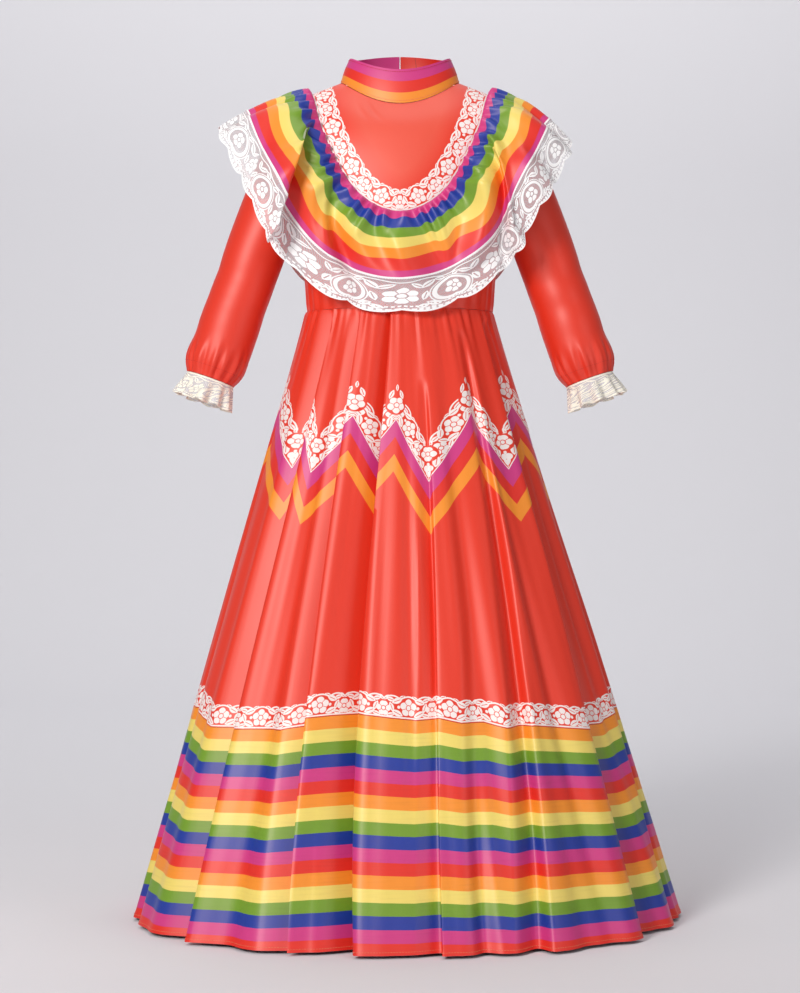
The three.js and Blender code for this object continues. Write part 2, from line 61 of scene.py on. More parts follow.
BODY_RINGS = table(
    "level half_width front back front_z side_z back_z",
    (0.00, 76.5, 56, 50, -35, 0, 8),
    (0.16, 116, 76, 72, -64, -15.5, -20),
    (0.30, 152, 86, 84, -96, -32, -64),
    (0.46, 146, 92, 90, -134, -96, -116),
    (0.64, 133, 94, 92, -176, -165, -170),
    (0.84, 125, 92, 91, -240, -238, -239),
    (1.00, 120, 88, 88, -297, -297, -297),
)
BODY_SIDE = 90              # the angle of the bodice's side seams
PANEL_GAP = 0.12            # degrees from a bodice panel's edge to its seam
ARMHOLE = dict(level=0.47, half_height=0.17, half_angle=28)
CHEST_CREASES = table(
    "angle level slope width reach depth",
    (-21, 0.085, 150, 2.6, 0.055, 0.9),
    (-27, 0.120, 150, 2.6, 0.045, 0.7),
    (16, 0.30, -40, 5.0, 0.10, 0.6),
    (-30, 0.90, 20, 4.0, 0.06, 0.8),
    (34, 0.88, -30, 4.0, 0.07, 0.8),
)
COLLAR_TOP = dict(half_width=65, front=50, back=46, front_z=10, side_z=32, back_z=44)
COLLAR_LIFT, COLLAR_BULGE = 1.1, 1.2
COLLAR_SLIT = 0.45          # half the opening at the centre back
COLLAR_LENGTH = 375.0
COLLAR_INNER_SEAM = 18.0    # from the collar's left end
COLLAR_STRIPES = dict(red=0.36, orange=0.70)    # where they start, as shares of its height from the top

SLEEVE_HEAD = np.array([147.0, 0.0, -103.0])
CUFF_CENTRE = np.array([245.0, -14.0, -384.0])
SLEEVE_ROWS = table(
    "along radius",
    (0.00, 44), (0.12, 42), (0.26, 40), (0.42, 38.5), (0.62, 38), (0.80, 39), (0.93, 38), (1.00, 31),
)
SLEEVE_HEAD_BLEND, UNDERARM_LIFT, UNDERARM_HOLD = 0.42, 2.0, 1.5
ARMHOLE_GAP = 0.32          # between the sleeve's edge and the bodice's
ELBOW_CREASES = table(
    "along spread depth facing",
    (0.50, 0.05, 1.6, 60), (0.63, 0.04, 1.2, 110), (0.78, 0.05, 1.3, 30),
)
CUFF_LACE = dict(start=0.95, depth=32, radius=31, flare=6, ruffles=12, ruffle_depth=4.6, scallops=9)

FLOUNCE_SEAM = table(
    "angle level",
    (-12, 0.620), (0, 0.644), (12, 0.620), (22, 0.558), (30, 0.460), (40, 0.308), (55, 0.214),
    (76, 0.163), (90, 0.156), (104, 0.163),
)
SEAM_STEPS = 720            # even steps along the seam
FLOUNCE_CUT = 1.50          # metres of striped strip, gathered to the seam
FLOUNCE_SEAT = 2.2          # how far it stands off the bodice at its seam
FLOUNCE_DEPTH, FLOUNCE_LACE_DEPTH = 88.0, 43.0
FLOUNCE_OPENING = dict(half=1.4, radius=90)     # the slit at the centre back
LACE_LAP = 3.0              # the lace's heading over the flounce's edge
SCALLOPS, SCALLOP_DEPTH = 40, 5.0
GATHERS, GATHER_HEIGHT, GATHER_REACH = 60, 8.2, 0.62
RIPPLES, RIPPLE_HEIGHT = 22, 5.2
FOLD_TAKE_UP = 0.4          # cloth that a fold draws in, for its depth
GATHER_TAKE_UP = 2.4        # cloth that a gather's bulge uses on its way down
RIPPLE_TAKE_UP = 2.2
FLOUNCE_PUFF, FLOUNCE_DROOP, DROOP_LEAN = 20.0, 0.40, 0.50
# It stands off more where it turns over the shoulders, in millimetres along the seam.
FLOUNCE_STAND = dict(degrees=42, at=124, width=95)
# Folds of the flounce, in millimetres along the seam from the centre front: where each starts at the
# seam and ends at the cloth's edge. A negative depth is a ridge.
FLOUNCE_FOLDS = table(
    "top edge width depth lean",
    (-462, -478, 22, 7, 0),
    (-418, -440, 26, 11, -12),
    (-368, -395, 26, 10, 10),
    (-322, -340, 24, 9, -8),
    (-268, -272, 24, 8, 6),
    (-224, -212, 24, 9, -6),
    (-186, -112, 46, -16, 16),
    (-160, -80, 30, 14, -44),
    (-84, -24, 20, 14, -10),
    (-30, -4, 16, 9, 6),
    (12, 20, 20, 14, 8),
    (62, 42, 18, 11, -5),
    (118, 50, 26, -12, 8),
    (146, 70, 28, 16, 20),
    (186, 118, 26, 9, -8),
    (222, 205, 24, 9, 8),
    (268, 272, 24, 8, -6),
    (322, 345, 26, 10, 8),
    (372, 398, 26, 11, -10),
    (420, 438, 24, 10, 10),
    (464, 478, 20, 6, 0),
)

SKIRT_WAIST = dict(half_width=120, front=88, back=88, square=2.0, shift=-1)
SKIRT_HEM = dict(half_width=350, front=322, back=300, square=2.3, shift=9)
# A fold's line passes through three angles. growth is the power with which it deepens down the skirt, and
# sag is how far the band's seam hangs down just before and just after it.
SKIRT_FOLDS = table(
    "top middle hem start growth width depth lean sag",
    (-170, -169, -168, 0.00, 0.6, 24, 28, 14, (12, 4)),
    (-150, -151, -152, 0.05, 0.8, 20, 18, -10, (15, 6)),
    (-133, -133, -134, 0.00, 0.6, 26, 36, 20, (18, 8)),
    (-112, -113, -114, 0.10, 0.8, 22, 20, -10, (20, 9)),
    (-80, -75, -71, 0.15, 0.7, 24, 34, 18, (9, 9)),
    (-51, -50.5, -48.5, 0.00, 0.4, 30, 42, 32, (25, 24)),
    (-30, -28.8, -24.5, 0.00, 0.4, 22, 24, 24, (22, 6)),
    (-5, -12.2, -10.2, 0.00, 0.3, 27, 46, 36, (4, 0)),
    (20, 11.3, 7.5, 0.12, 0.6, 18, 16, 16, (8, 5)),
    (35, 22, 17, 0.50, 0.85, 20, 10, 0, (11, 11)),
    (50, 39.5, 30, 0.04, 0.5, 25, 22, 14, (18, 17)),
    (64, 58.5, 53.5, 0.02, 0.4, 28, 38, -28, (27, 24)),
    (84, 78, 71, 0.20, 0.7, 24, 30, -18, (14, 11)),
    (112, 113, 114, 0.10, 0.8, 24, 26, 14, (20, 8)),
    (132, 131, 131, 0.00, 0.6, 20, 18, -10, (14, 6)),
    (149, 149, 149, 0.05, 0.6, 26, 38, -22, (18, 6)),
    (169, 168, 167, 0.00, 0.7, 22, 24, 12, (14, 4)),
)
# Broad soft hollows between the folds.
SKIRT_HOLLOWS = table(
    "top middle hem width depth",
    (-162, -161, -160, 60, 12),
    (-122, -122, -122, 55, 10),
    (-96, -94, -90, 60, 12),
    (-46, -42, -40, 60, 16),
    (-16, -20, -18, 56, 16),
    (10, 3, 0, 44, 7),
    (30, 24, 18, 44, 8),
    (57, 48, 42, 56, 13),
    (76, 68, 62, 50, 13),
    (98, 96, 93, 60, 12),
    (123, 122, 122, 55, 10),
    (159, 158, 158, 60, 12),
)
FOLD_WIDTH_AT_WAIST = 0.35
LEVEL_STEPS = 200           # heights at which the skirt's columns are worked out
WAIST_GAP, BAND_GAP, SIDE_GAP = 0.45, 0.16, 0.03    # millimetres, and for the sides degrees
HEM_TURNING = 7.0           # the hem's turned edge, where the cloth is twice as thick

# The zigzag print: a whole phase is a peak and a half phase is a low point. The angles are those of the
# cloth at ZIGZAG_LEVEL, and between them the phase follows the cloth's own length.
ZIGZAG = table(
    "angle phase",
    (-97, -3.4), (-82, -3.0), (-59.6, -2.5), (-45.6, -1.5), (-26.5, -1.0), (-3.1, 0.0), (11.8, 0.5),
    (38, 1.0), (55.3, 1.5), (72, 2.0), (92, 2.5), (97, 2.6), (263, 7.6),
)
ZIGZAG_LEVEL = 0.23         # share of the way from the waist to the hem
ZIGZAG_PEAK = 150.0         # cloth length from the waist seam to a peak of the magenta stripe
ZIGZAG_DROP = 82.0          # from a peak to a low point
ZIGZAG_RISE = 26.0          # the print sits this much higher at the sides
ZIGZAG_HALF = 46.0          # cloth from a peak to the next low point
ZIGZAG_STRIPE = 22.5
ZIGZAG_TRIM = 25.0          # the floral band's width above the stripes
ZIGZAG_TRIM_START = 11.0    # where the floral band's pattern starts at a peak
# The flowers above the peaks and in the low points, with the room that the floral band leaves them, and
# their leaves, placed across and down from a peak.
PEAK_FLOWER = dict(rise=19.0, radius=11.0, room=13.0)
LOW_FLOWER = dict(rise=36.0, radius=9.5, room=11.5)
ZIGZAG_LEAVES = table(
    "at tilt length width",
    ((6.6, -33), 68, 13, 5.5),
    ((0, -42), 90, 9, 3.6),
    ((ZIGZAG_HALF, ZIGZAG_DROP - 14), 90, 18, 7.5),
)
LOW_TRIM_FROM = 330.0       # below this cloth length the floral band is the one along the hem band's seam

# Rows and columns of the pieces' meshes. The skirt's folds bring their own columns.
BODICE_ROWS, BODICE_FRONT_COLUMNS, BODICE_BACK_COLUMNS = 110, 150, 80
COLLAR_GRID, FLOUNCE_GRID, FLOUNCE_LACE_GRID = (18, 200), (36, 961), (20, 1201)
SLEEVE_COLUMNS, CUFF_LACE_GRID = 120, (14, 240)
SKIRT_ROWS, BAND_ROWS = 130, 66
FOLD_COLUMNS, EVEN_STEP = 14, 1.5       # columns in a fold, and degrees between the even ones


# ---------------------------------------------------------------- view and light

LENS = 83.67                # millimetres, on the 36 mm side of the sensor
EYE = (0.0, -3.0, -0.536)
MIDDLE = (0, 0, -0.55)
LIGHTS = table(
    "name place target size power tint",
    ("key", (-1.5, -2.9, 0.8), MIDDLE, (0.9, 1.3), 88, (1.0, 0.985, 0.965)),
    ("fill", (2.3, -2.3, 0.0), MIDDLE, (1.2, 1.8), 14, (0.98, 0.98, 1.0)),
    ("top", (0, -0.2, 2.3), MIDDLE, (1.4, 1.2), 16, (1.0, 1.0, 1.0)),
    ("backdrop_wash", (0, 2.2, 3.0), (0, 4.6, -0.4), (5.5, 1.0), 96, (1.0, 0.995, 1.0)),
)
ROOM_LIGHT, ROOM_STRENGTH = (0.92, 0.92, 0.94, 1), 0.22


def add_object(name, data):
    item = bpy.data.objects.new(name, data)
    bpy.context.scene.collection.objects.link(item)
    return item


def make_camera():
    data = bpy.data.cameras.new("camera")
    data.lens = LENS
    data.clip_end = 30
    camera = add_object("camera", data)
    camera.location = EYE
    camera.rotation_euler = (radians(90), 0, 0)
    bpy.context.scene.camera = camera


def soft_light(name, place, target, size, power, tint):
    data = bpy.data.lights.new(name, "AREA")
    data.shape = "RECTANGLE"
    data.size, data.size_y = size
    data.energy = power
    data.color = tint
    lamp = add_object(name, data)
    lamp.location = place
    aim = Vector(target) - Vector(place)
    lamp.rotation_euler = aim.to_track_quat("-Z", "Y").to_euler()


def make_lights():
    for light in LIGHTS:
        soft_light(**light)
    world = bpy.data.worlds.new("room")
    world.use_nodes = True
    room = world.node_tree.nodes["Background"]
    room.inputs["Color"].default_value = ROOM_LIGHT
    room.inputs["Strength"].default_value = ROOM_STRENGTH
    bpy.context.scene.world = world
    bpy.context.scene.view_settings.view_transform = "Standard"


# ---------------------------------------------------------------- shader maths

def maths(operation):
    """A method of Wire that adds one Math node."""
    def add_node(wire, *others):
        return wire.finish.node("ShaderNodeMath", {"operation": operation}, wire, *others)
    return add_node


class Wire:
    """A value in a finish's tree of nodes. Arithmetic on wires adds Math nodes."""

    __add__ = __radd__ = maths("ADD")
    __mul__ = __rmul__ = maths("MULTIPLY")
    __sub__ = maths("SUBTRACT")
    __truediv__ = maths("DIVIDE")
    __mod__ = maths("FLOORED_MODULO")
    __lt__ = maths("LESS_THAN")
    __gt__ = maths("GREATER_THAN")
    __abs__ = maths("ABSOLUTE")
    sin = maths("SINE")
    cos = maths("COSINE")
    root = maths("SQRT")
    least = maths("MINIMUM")
    most = maths("MAXIMUM")
    angle_from = maths("ARCTAN2")

    def __init__(self, finish, socket):
        self.finish = finish
        self.socket = socket

    def __rsub__(self, number):
        return self.finish.node("ShaderNodeMath", {"operation": "SUBTRACT"}, number, self)

    def inside(self, edge, soft):
        """1 where the value is below the edge, 0 above it, turning over the width soft."""
        return self.finish.node("ShaderNodeMapRange", {"interpolation_type": "LINEAR"}, self,
                                edge - soft / 2, edge + soft / 2, 1.0, 0.0)

    def past(self, edge, soft=0.6):
        """1 beyond the edge, 0 before it."""
        return 1 - self.inside(edge, soft)


class Finish:
    """A material and the nodes that make it."""

    def __init__(self, name):
        self.material = bpy.data.materials.new(name)
        self.material.use_nodes = True
        self.tree = self.material.node_tree
        self.tree.nodes.clear()

    def node(self, kind, settings, *values, out=0, **named):
        """Any node: its settings first, then its sockets in order or by name."""
        node = self.tree.nodes.new(kind)
        for key, setting in settings.items():
            if key == "stops":
                set_stops(node.color_ramp, setting)
            else:
                setattr(node, key, setting)
        for place, value in enumerate(values):
            self.feed(node.inputs[place], value)
        for name, value in named.items():
            self.feed(node.inputs[name.replace("_", " ")], value)
        return Wire(self, node.outputs[out])

    def feed(self, socket, value):
        if isinstance(value, Wire):
            self.tree.links.new(value.socket, socket)
        elif value is not None:
            socket.default_value = value

    def map(self, name):
        """The two coordinates of one of a piece's cloth maps, in millimetres."""
        place = self.node("ShaderNodeUVMap", {"uv_map": name})
        return [self.node("ShaderNodeSeparateXYZ", {}, place, out=axis) * (1 / MM) for axis in ("X", "Y")]

    def attribute(self, name):
        return self.node("ShaderNodeAttribute", {"attribute_name": name}, out="Fac")

    def mix(self, share, first, second):
        """A blend of two colours, whose sockets come after those for numbers and vectors."""
        return self.node("ShaderNodeMix", {"data_type": "RGBA"}, share, *[None] * 5, first, second, out=2)

    def pick(self, share, first, second):
        """A blend of two numbers."""
        return self.node("ShaderNodeMix", {"data_type": "FLOAT"}, share, None, first, second)

    def noise(self, scale, detail=2.0, stretch=(1, 1, 1)):
        place = self.node("ShaderNodeTexCoord", {}, out="Object")
        mapping = self.node("ShaderNodeMapping", {}, place, Scale=stretch)
        return self.node("ShaderNodeTexNoise", {}, mapping, Scale=scale, Detail=detail)

    def stripes(self, place, period, shades):
        """Equal stripes across a repeating length."""
        return self.node("ShaderNodeValToRGB", {"stops": shades}, (place / period) % 1.0)

    def shaded(self, **looks):
        """The finished material: one shader with these values and wires in its sockets."""
        shader = self.node("ShaderNodeBsdfPrincipled", {}, **looks)
        self.feed(self.tree.nodes.new("ShaderNodeOutputMaterial").inputs["Surface"], shader)
        return self.material


def set_stops(ramp, shades):
    """Hard-edged stops of a colour ramp, all of one width."""
    ramp.interpolation = "CONSTANT"
    while len(ramp.elements) < len(shades):
        ramp.elements.new(0.99)                     # moved to its own place below
    for k, shade in enumerate(shades):
        ramp.elements[k].position = k / len(shades)
        ramp.elements[k].color = shade


def colour(red, green, blue):
    """A screen colour, 0 to 255, as the linear colour that a shader takes."""
    def linear(value):
        value /= 255
        return value / 12.92 if value <= 0.04045 else ((value + 0.055) / 1.055) ** 2.4
    return linear(red), linear(green), linear(blue), 1.0


RED = colour(228, 50, 24)
DARK_RED = colour(206, 40, 24)
MAGENTA = colour(206, 52, 128)
ORANGE = colour(244, 144, 36)
YELLOW = colour(238, 214, 108)
GREEN = colour(112, 154, 36)
BLUE = colour(0, 52, 152)
STRIPE_RED = colour(226, 40, 24)
WHITE = colour(246, 236, 232)
HEM_STRIPES = [ORANGE, YELLOW, GREEN, BLUE, MAGENTA, STRIPE_RED]
HEM_STRIPE = 15.9           # each stripe's width
HEM_STRIPE_LEVELLING = 0.85     # how much of the band seam's slant the stripes have lost at the hem
FLOUNCE_STRIPES = [         # where each stripe starts, below the first one, which is magenta
    (11.5, BLUE), (25.0, GREEN), (38.0, YELLOW), (51.5, ORANGE), (65.0, STRIPE_RED), (78.5, MAGENTA),
]


# ---------------------------------------------------------------- printed and worked flowers

TRIM_PERIOD, TRIM_WIDTH = 62.0, 28.0
TRIM_LEAVES = table(
    "at tilt length width",
    ((14.2, 6.2), 24, 15, 7.2),
    ((14.6, 21.2), -24, 14, 7.0),
    ((21.4, 13.4), 68, 12, 6.0),
    ((22.6, 22.4), 14, 10, 5.4),
    ((22.2, 4.0), -16, 11, 5.0),
    ((8.6, 26.0), -26, 9, 3.6),
    ((28.0, 24.4), -50, 8, 4.0),
)


def distance(x, y):
    return (x * x + y * y).root()


def together(parts):
    """1 where any of the parts is."""
    whole = parts[0]
    for part in parts[1:]:
        whole = whole.most(part)
    return whole


def mirrored(along, period):
    """The distance from the middle of a repeat, so that a pattern is mirrored there."""
    return abs((along / period) % 1.0 - 0.5) * period


def flower(x, y, radius, petals=5, turn=0.0):
    """A plain round flower: petals, the gaps between them, and a ringed eye."""
    reach = distance(x, y)
    spin = abs((x.angle_from(y) * (petals / 2) + turn).cos())
    petal = (reach - (spin * 0.26 + 0.74) * radius).inside(0, 0.5)
    gap = (spin * reach).inside(0.9, 0.6) * (reach > radius * 0.31)
    eye = abs(reach - radius * 0.30).inside(0.5, 0.4)
    return petal * (1 - gap) * (1 - eye)


def leaf(x, y, at, tilt, length, width):
    """A pointed leaf with a vein, tilt degrees from along the band."""
    dx, dy = x - at[0], y - at[1]
    along = dx * cos(radians(tilt)) + dy * sin(radians(tilt))
    across = abs(dy * cos(radians(tilt)) - dx * sin(radians(tilt)))
    share = along * (2 / length)
    edge = (1 - share * share) * (width / 2)
    vein = across.inside(0.4, 0.3) * abs(share).inside(0.62, 0.1)
    return (across - edge).inside(0, 0.5) * (1 - vein)


def floral_band(along, y):
    """White flowers and leaves on the cloth's red. y is 0 at the band's straight edge."""
    x = mirrored(along, TRIM_PERIOD)
    scallop = y - 23.6 - abs((x * (3 * pi / TRIM_PERIOD)).cos()) * 3.4
    white = together([
        flower(x, y - 13.4, 10.8),
        flower(x - TRIM_PERIOD / 2, y - 11.0, 8.8, turn=0.6),
        distance(x - 12.4, y - 13.6).inside(1.9, 0.5),
        abs(scallop).inside(0.95, 0.5),
        abs(y - 1.1).inside(0.9, 0.5),
        *[leaf(x, y, **spec) for spec in TRIM_LEAVES],
    ])
    return white * y.inside(TRIM_WIDTH, 0.5) * (1 - y.inside(0, 0.4))


# ---------------------------------------------------------------- finishes

def bodice_paint(finish):
    along, inside = finish.map("trim")
    yoke_painted_highlight = inside.past(38, 24) * 0.10               # painted highlight: the middle of the yoke is painted a little paler, as the frontal light brightens it
    return finish.mix(floral_band(along, inside - 0.5), finish.mix(yoke_painted_highlight, RED, colour(255, 190, 160)), WHITE)


def plain_paint(finish):
    return finish.mix(finish.noise(30.0) * 0.15, RED, DARK_RED)


def skirt_paint(finish):
    along, down = finish.map("cloth")
    phase, rise = finish.map("zigzag")
    to_seam = finish.map("seam")[1]
    swing = abs((phase + 0.5) % 1.0 - 0.5) * 2      # 0 at a peak, 1 at a low point
    side = swing * ZIGZAG_HALF
    drop = down - ZIGZAG_PEAK + rise                # below the peak's height
    below = drop - swing * ZIGZAG_DROP              # below the stripes' upper edge
    base = RED
    for k, stripe in enumerate([MAGENTA, STRIPE_RED, ORANGE, RED]):
        base = finish.mix(below.past(k * ZIGZAG_STRIPE), base, stripe)

    steep = (ZIGZAG_DROP ** 2 + ZIGZAG_HALF ** 2) ** 0.5
    leg = (side * ZIGZAG_HALF + drop * ZIGZAG_DROP) / steep
    over = (side * ZIGZAG_DROP - drop * ZIGZAG_HALF) / steep
    reach = distance(leg.least(0), over) * (over > 0) - (over < 0)
    is_low = down > LOW_TRIM_FROM
    is_high = 1 - is_low
    band = floral_band(finish.pick(is_low, leg.most(0) + ZIGZAG_TRIM_START, along),
                       finish.pick(is_low, reach * (TRIM_WIDTH / ZIGZAG_TRIM) + 1, to_seam - 1))

    peak_y = drop + PEAK_FLOWER["rise"]
    low_x, low_y = side - ZIGZAG_HALF, drop - (ZIGZAG_DROP - LOW_FLOWER["rise"])
    flowers = together([
        flower(side, peak_y, PEAK_FLOWER["radius"]),
        flower(low_x, low_y, LOW_FLOWER["radius"], turn=0.6),
        *[leaf(side, drop, **spec) for spec in ZIGZAG_LEAVES],
    ])
    room = together([distance(side, peak_y).inside(PEAK_FLOWER["room"], 0.4),
                     distance(low_x, low_y).inside(LOW_FLOWER["room"], 0.4)])
    white = (band * (1 - room * is_high)).most(flowers * is_high * below.inside(0, 0.6))
    return finish.mix(white, base, WHITE)


def hem_paint(finish):
    down = finish.map("cloth")[1]
    stripe = finish.stripes(down, HEM_STRIPE * len(HEM_STRIPES), HEM_STRIPES)
    thread = finish.noise(400.0, 1.0, (0.05, 0.05, 1))
    return finish.mix((thread - 0.5) * 0.2, stripe, colour(60, 20, 20))


def flounce_paint(finish):
    down = finish.map("cloth")[1]
    base = MAGENTA
    for start, stripe in FLOUNCE_STRIPES:
        base = finish.mix(down.past(start, 0.5), base, stripe)
    return base


def collar_paint(finish):
    along, down = finish.map("cloth")
    base = finish.mix(down.past(COLLAR_STRIPES["red"], 0.01), MAGENTA, STRIPE_RED)
    base = finish.mix(down.past(COLLAR_STRIPES["orange"], 0.01), base, ORANGE)
    inner = finish.mix(along > COLLAR_LENGTH / 2, MAGENTA, STRIPE_RED)
    seam = abs(along - COLLAR_LENGTH + COLLAR_INNER_SEAM).inside(0.5, 0.4) * 0.5
    inner = finish.mix(seam, inner, colour(120, 20, 20))
    return finish.mix(finish.attribute("wrong_side"), base, inner)


def satin(name, paint, fade=0.35):
    """Smooth polyester satin: paint(finish) gives its colour, and fade pales it on the wrong side."""
    finish = Finish(name)
    base = finish.mix(finish.attribute("wrong_side") * fade, paint(finish), colour(226, 206, 222))
    wave = finish.noise(9.0, 3.0, (1, 1, 0.35))
    base = finish.mix((wave - 0.5) * 0.25, base, colour(120, 12, 8))
    threads = finish.noise(900.0, 1.0, (1, 1, 0.4))
    bump = finish.node("ShaderNodeBump", {}, Strength=0.12, Distance=0.0004, Height=threads + wave * 2)
    return finish.shaded(Base_Color=base, Roughness=0.42 + wave * 0.12, Normal=bump,
                         Specular_IOR_Level=0.85, Specular_Tint=colour(255, 232, 226),
                         Sheen_Weight=0.04, Sheen_Roughness=0.35)


def plain_thread(name, shade):
    finish = Finish(name)
    twist = finish.noise(1600.0, 1.0)
    return finish.shaded(Base_Color=finish.mix(twist * 0.4, shade, colour(120, 40, 30)), Roughness=0.6)


# Places and sizes as shares of the lace's width, and along it of half a repeat.
LACE_LEAVES = table(
    "along down tilt length width",
    (0.50, 0.26, 34, 0.30, 0.13),
    (0.46, 0.80, -30, 0.26, 0.12),
    (0.60, 0.56, 70, 0.26, 0.12),
    (0.66, 0.84, 24, 0.22, 0.11),
    (0.72, 0.28, -34, 0.26, 0.12),
    (0.24, 0.20, -14, 0.22, 0.10),
)
NET_HOLE, PICOT, FRINGE = 1.9, 3.2, 4.4     # lengths along the lace of one of each


def lace(name, thread, width, period, net_cover):
    """Raschel lace: a fine net with flowers, leaves and a scalloped border worked into it.

    period is the length of one pair of scallops and the pattern's sizes follow the lace's width."""
    finish = Finish(name)
    along, y = finish.map("cloth")
    x = mirrored(along, period)
    half, middle = period / 2, 0.56 * width
    oval = (x * x * 0.62 + (y - middle) * (y - middle)).root()
    vine = y - width * 0.14 - (x * (2 * pi / half)).cos() * (width * 0.035)
    cord = y - width * 0.80 - abs((x * (pi / half)).cos()) * (width * 0.07)
    picots = (along * (2 * pi / PICOT)).cos() > -0.3
    fringe = ((along * (2 * pi / FRINGE)).cos() + 1.3).least(1)
    solid = together([
        flower(x, y - middle, width * 0.19),
        flower(x - half, y - middle, width * 0.24, petals=6),
        *[leaf(x, y, (spec["along"] * half, spec["down"] * width), spec["tilt"], spec["length"] * width,
               spec["width"] * width) for spec in LACE_LEAVES],
        abs(oval - width * 0.27).inside(1.5, 0.5),
        abs(oval - width * 0.33).inside(0.5, 0.4),
        abs(vine).inside(0.7, 0.4),
        abs(cord).inside(1.0, 0.4) * picots,
        cord.past(width * 0.06, 0.5) * fringe,
        y.past(width - 2.2, 0.4),
        y.inside(2.4, 0.5),
    ])
    net = abs(((along + y) * (pi / NET_HOLE)).sin()) * abs(((along - y) * (pi / NET_HOLE)).sin())
    cover = net.inside(0.42, 0.4) * 0.42 + net_cover
    relief = solid + finish.noise(700.0, 1.0) * 0.3
    bump = finish.node("ShaderNodeBump", {}, Strength=0.5, Distance=0.0006, Height=relief)
    return finish.shaded(Base_Color=finish.mix(solid, colour(236, 233, 236), thread),
                         Alpha=(solid * 0.95).most(cover), Normal=bump, Roughness=0.75,
                         Specular_IOR_Level=0.3)


# ---------------------------------------------------------------- shape maths

def smooth(share):
    share = np.clip(share, 0, 1)
    return share * share * (3 - 2 * share)


def lerp(low, high, share):
    return low + (high - low) * share


def valley(x):
    return np.where(np.abs(x) < 1, np.cos(np.pi * np.clip(x, -1, 1) / 2) ** 2, 0)


def follow(rows, key, column, at):
    """A smooth curve through one column of a table, at values of its key column."""
    keys = np.array([row[key] for row in rows], float)
    values = np.array([row[column] for row in rows], float)
    slopes = np.empty(len(rows))
    slopes[1:-1] = (values[2:] - values[:-2]) / (keys[2:] - keys[:-2])
    slopes[0] = (values[1] - values[0]) / (keys[1] - keys[0])
    slopes[-1] = (values[-1] - values[-2]) / (keys[-1] - keys[-2])
    at = np.asarray(at, float)
    i = np.clip(np.searchsorted(keys, at, side="left") - 1, 0, len(rows) - 2)
    step = keys[i + 1] - keys[i]
    t = (at - keys[i]) / step
    t2, t3 = t * t, t * t * t
    return ((2 * t3 - 3 * t2 + 1) * values[i] + (t3 - 2 * t2 + t) * step * slopes[i]
            + (3 * t2 - 2 * t3) * values[i + 1] + (t3 - t2) * step * slopes[i + 1])


def unit(vectors):
    return vectors / np.maximum(np.linalg.norm(vectors, axis=-1, keepdims=True), 1e-9)


def outward_in_plan(points):
    return unit(points * np.array([1, 1, 0]))


def normal_of(point, a, b, step_a, step_b):
    """The outward normals of a surface point(a, b): a runs round the body and b down it."""
    across = point(a + step_a, b) - point(a - step_a, b)
    down = point(a, b + step_b) - point(a, b - step_b)
    return unit(np.cross(down, across))


def oval_point(ring, angle):
    turn = np.radians(angle)
    facing = np.cos(turn)
    depth = np.where(facing > 0, ring["front"], ring["back"])
    end_z = np.where(facing > 0, ring["front_z"], ring["back_z"])
    z = lerp(ring["side_z"], end_z, facing * facing)
    return np.stack(np.broadcast_arrays(ring["half_width"] * np.sin(turn), -depth * facing, z), -1)


def body_point(angle, level):
    columns = ["half_width", "front", "back", "front_z", "side_z", "back_z"]
    return oval_point({c: follow(BODY_RINGS, "level", c, level) for c in columns}, angle)


def body_normal(angle, level):
    return normal_of(body_point, angle, level, 0.5, 0.004)


def armhole_inset(level):
    t = (level - ARMHOLE["level"]) / ARMHOLE["half_height"]
    return ARMHOLE["half_angle"] * np.sqrt(np.maximum(0, 1 - t * t))


def seam_level(angle):
    turn = np.abs(angle)
    return follow(FLOUNCE_SEAM, "angle", "level", np.where(turn > 90, 180 - turn, turn))


def seam_point(angle):
    return body_point(angle, seam_level(angle))


def even_seam_angles():
    """Body angles at even steps along the flounce's seam, and the seam's length."""
    back = 180 - np.degrees(FLOUNCE_OPENING["half"] / FLOUNCE_OPENING["radius"])
    angles = np.linspace(-back, back, SEAM_STEPS + 1)
    points = seam_point(angles)
    lengths = np.concatenate([[0], np.cumsum(np.linalg.norm(np.diff(points, axis=0), axis=1))])
    return np.interp(np.linspace(0, lengths[-1], SEAM_STEPS + 1), lengths, angles), lengths[-1]


SEAM_ANGLES, SEAM_LENGTH = even_seam_angles()


def gathering(share, drop):
    """The flounce's gathers, 0 to 1: uneven ones that run out at different depths."""
    turn = 2 * np.pi * share
    wave = np.cos(GATHERS * turn + 1.4 * np.sin(5 * turn + 1) + 0.9 * np.sin(13 * turn))
    reach = GATHER_REACH * (1 + 0.35 * np.sin(17 * turn + 2) + 0.25 * np.sin(29 * turn))
    return (0.5 + 0.5 * wave) ** 1.3 * (1 - smooth(drop / reach))


def rippling(share):
    """Broad uneven waves that run down the flounce, -1 to 1."""
    turn = 2 * np.pi * share
    return np.cos(RIPPLES * turn + 0.9 * np.sin(7 * turn + 0.5)) * (0.75 + 0.25 * np.sin(11 * turn))


def spreading(drop):
    """How far the flounce's folds and ripples have opened at a drop, 0 to 1."""
    return smooth(drop * 1.6)


def flounce_folds(share, drop):
    """How deep the folds are at a point of the flounce, and how far they lean along it."""
    along = (share - 0.5) * SEAM_LENGTH
    depth = np.zeros(np.broadcast(share, drop).shape)
    slide = np.zeros_like(depth)
    for fold in FLOUNCE_FOLDS:
        middle = lerp(fold["top"], fold["edge"], np.minimum(drop, 1.2))
        amount = valley((along - middle) / fold["width"]) * spreading(drop)
        depth = depth + fold["depth"] * amount
        slide = slide + fold["lean"] * amount
    return depth, slide


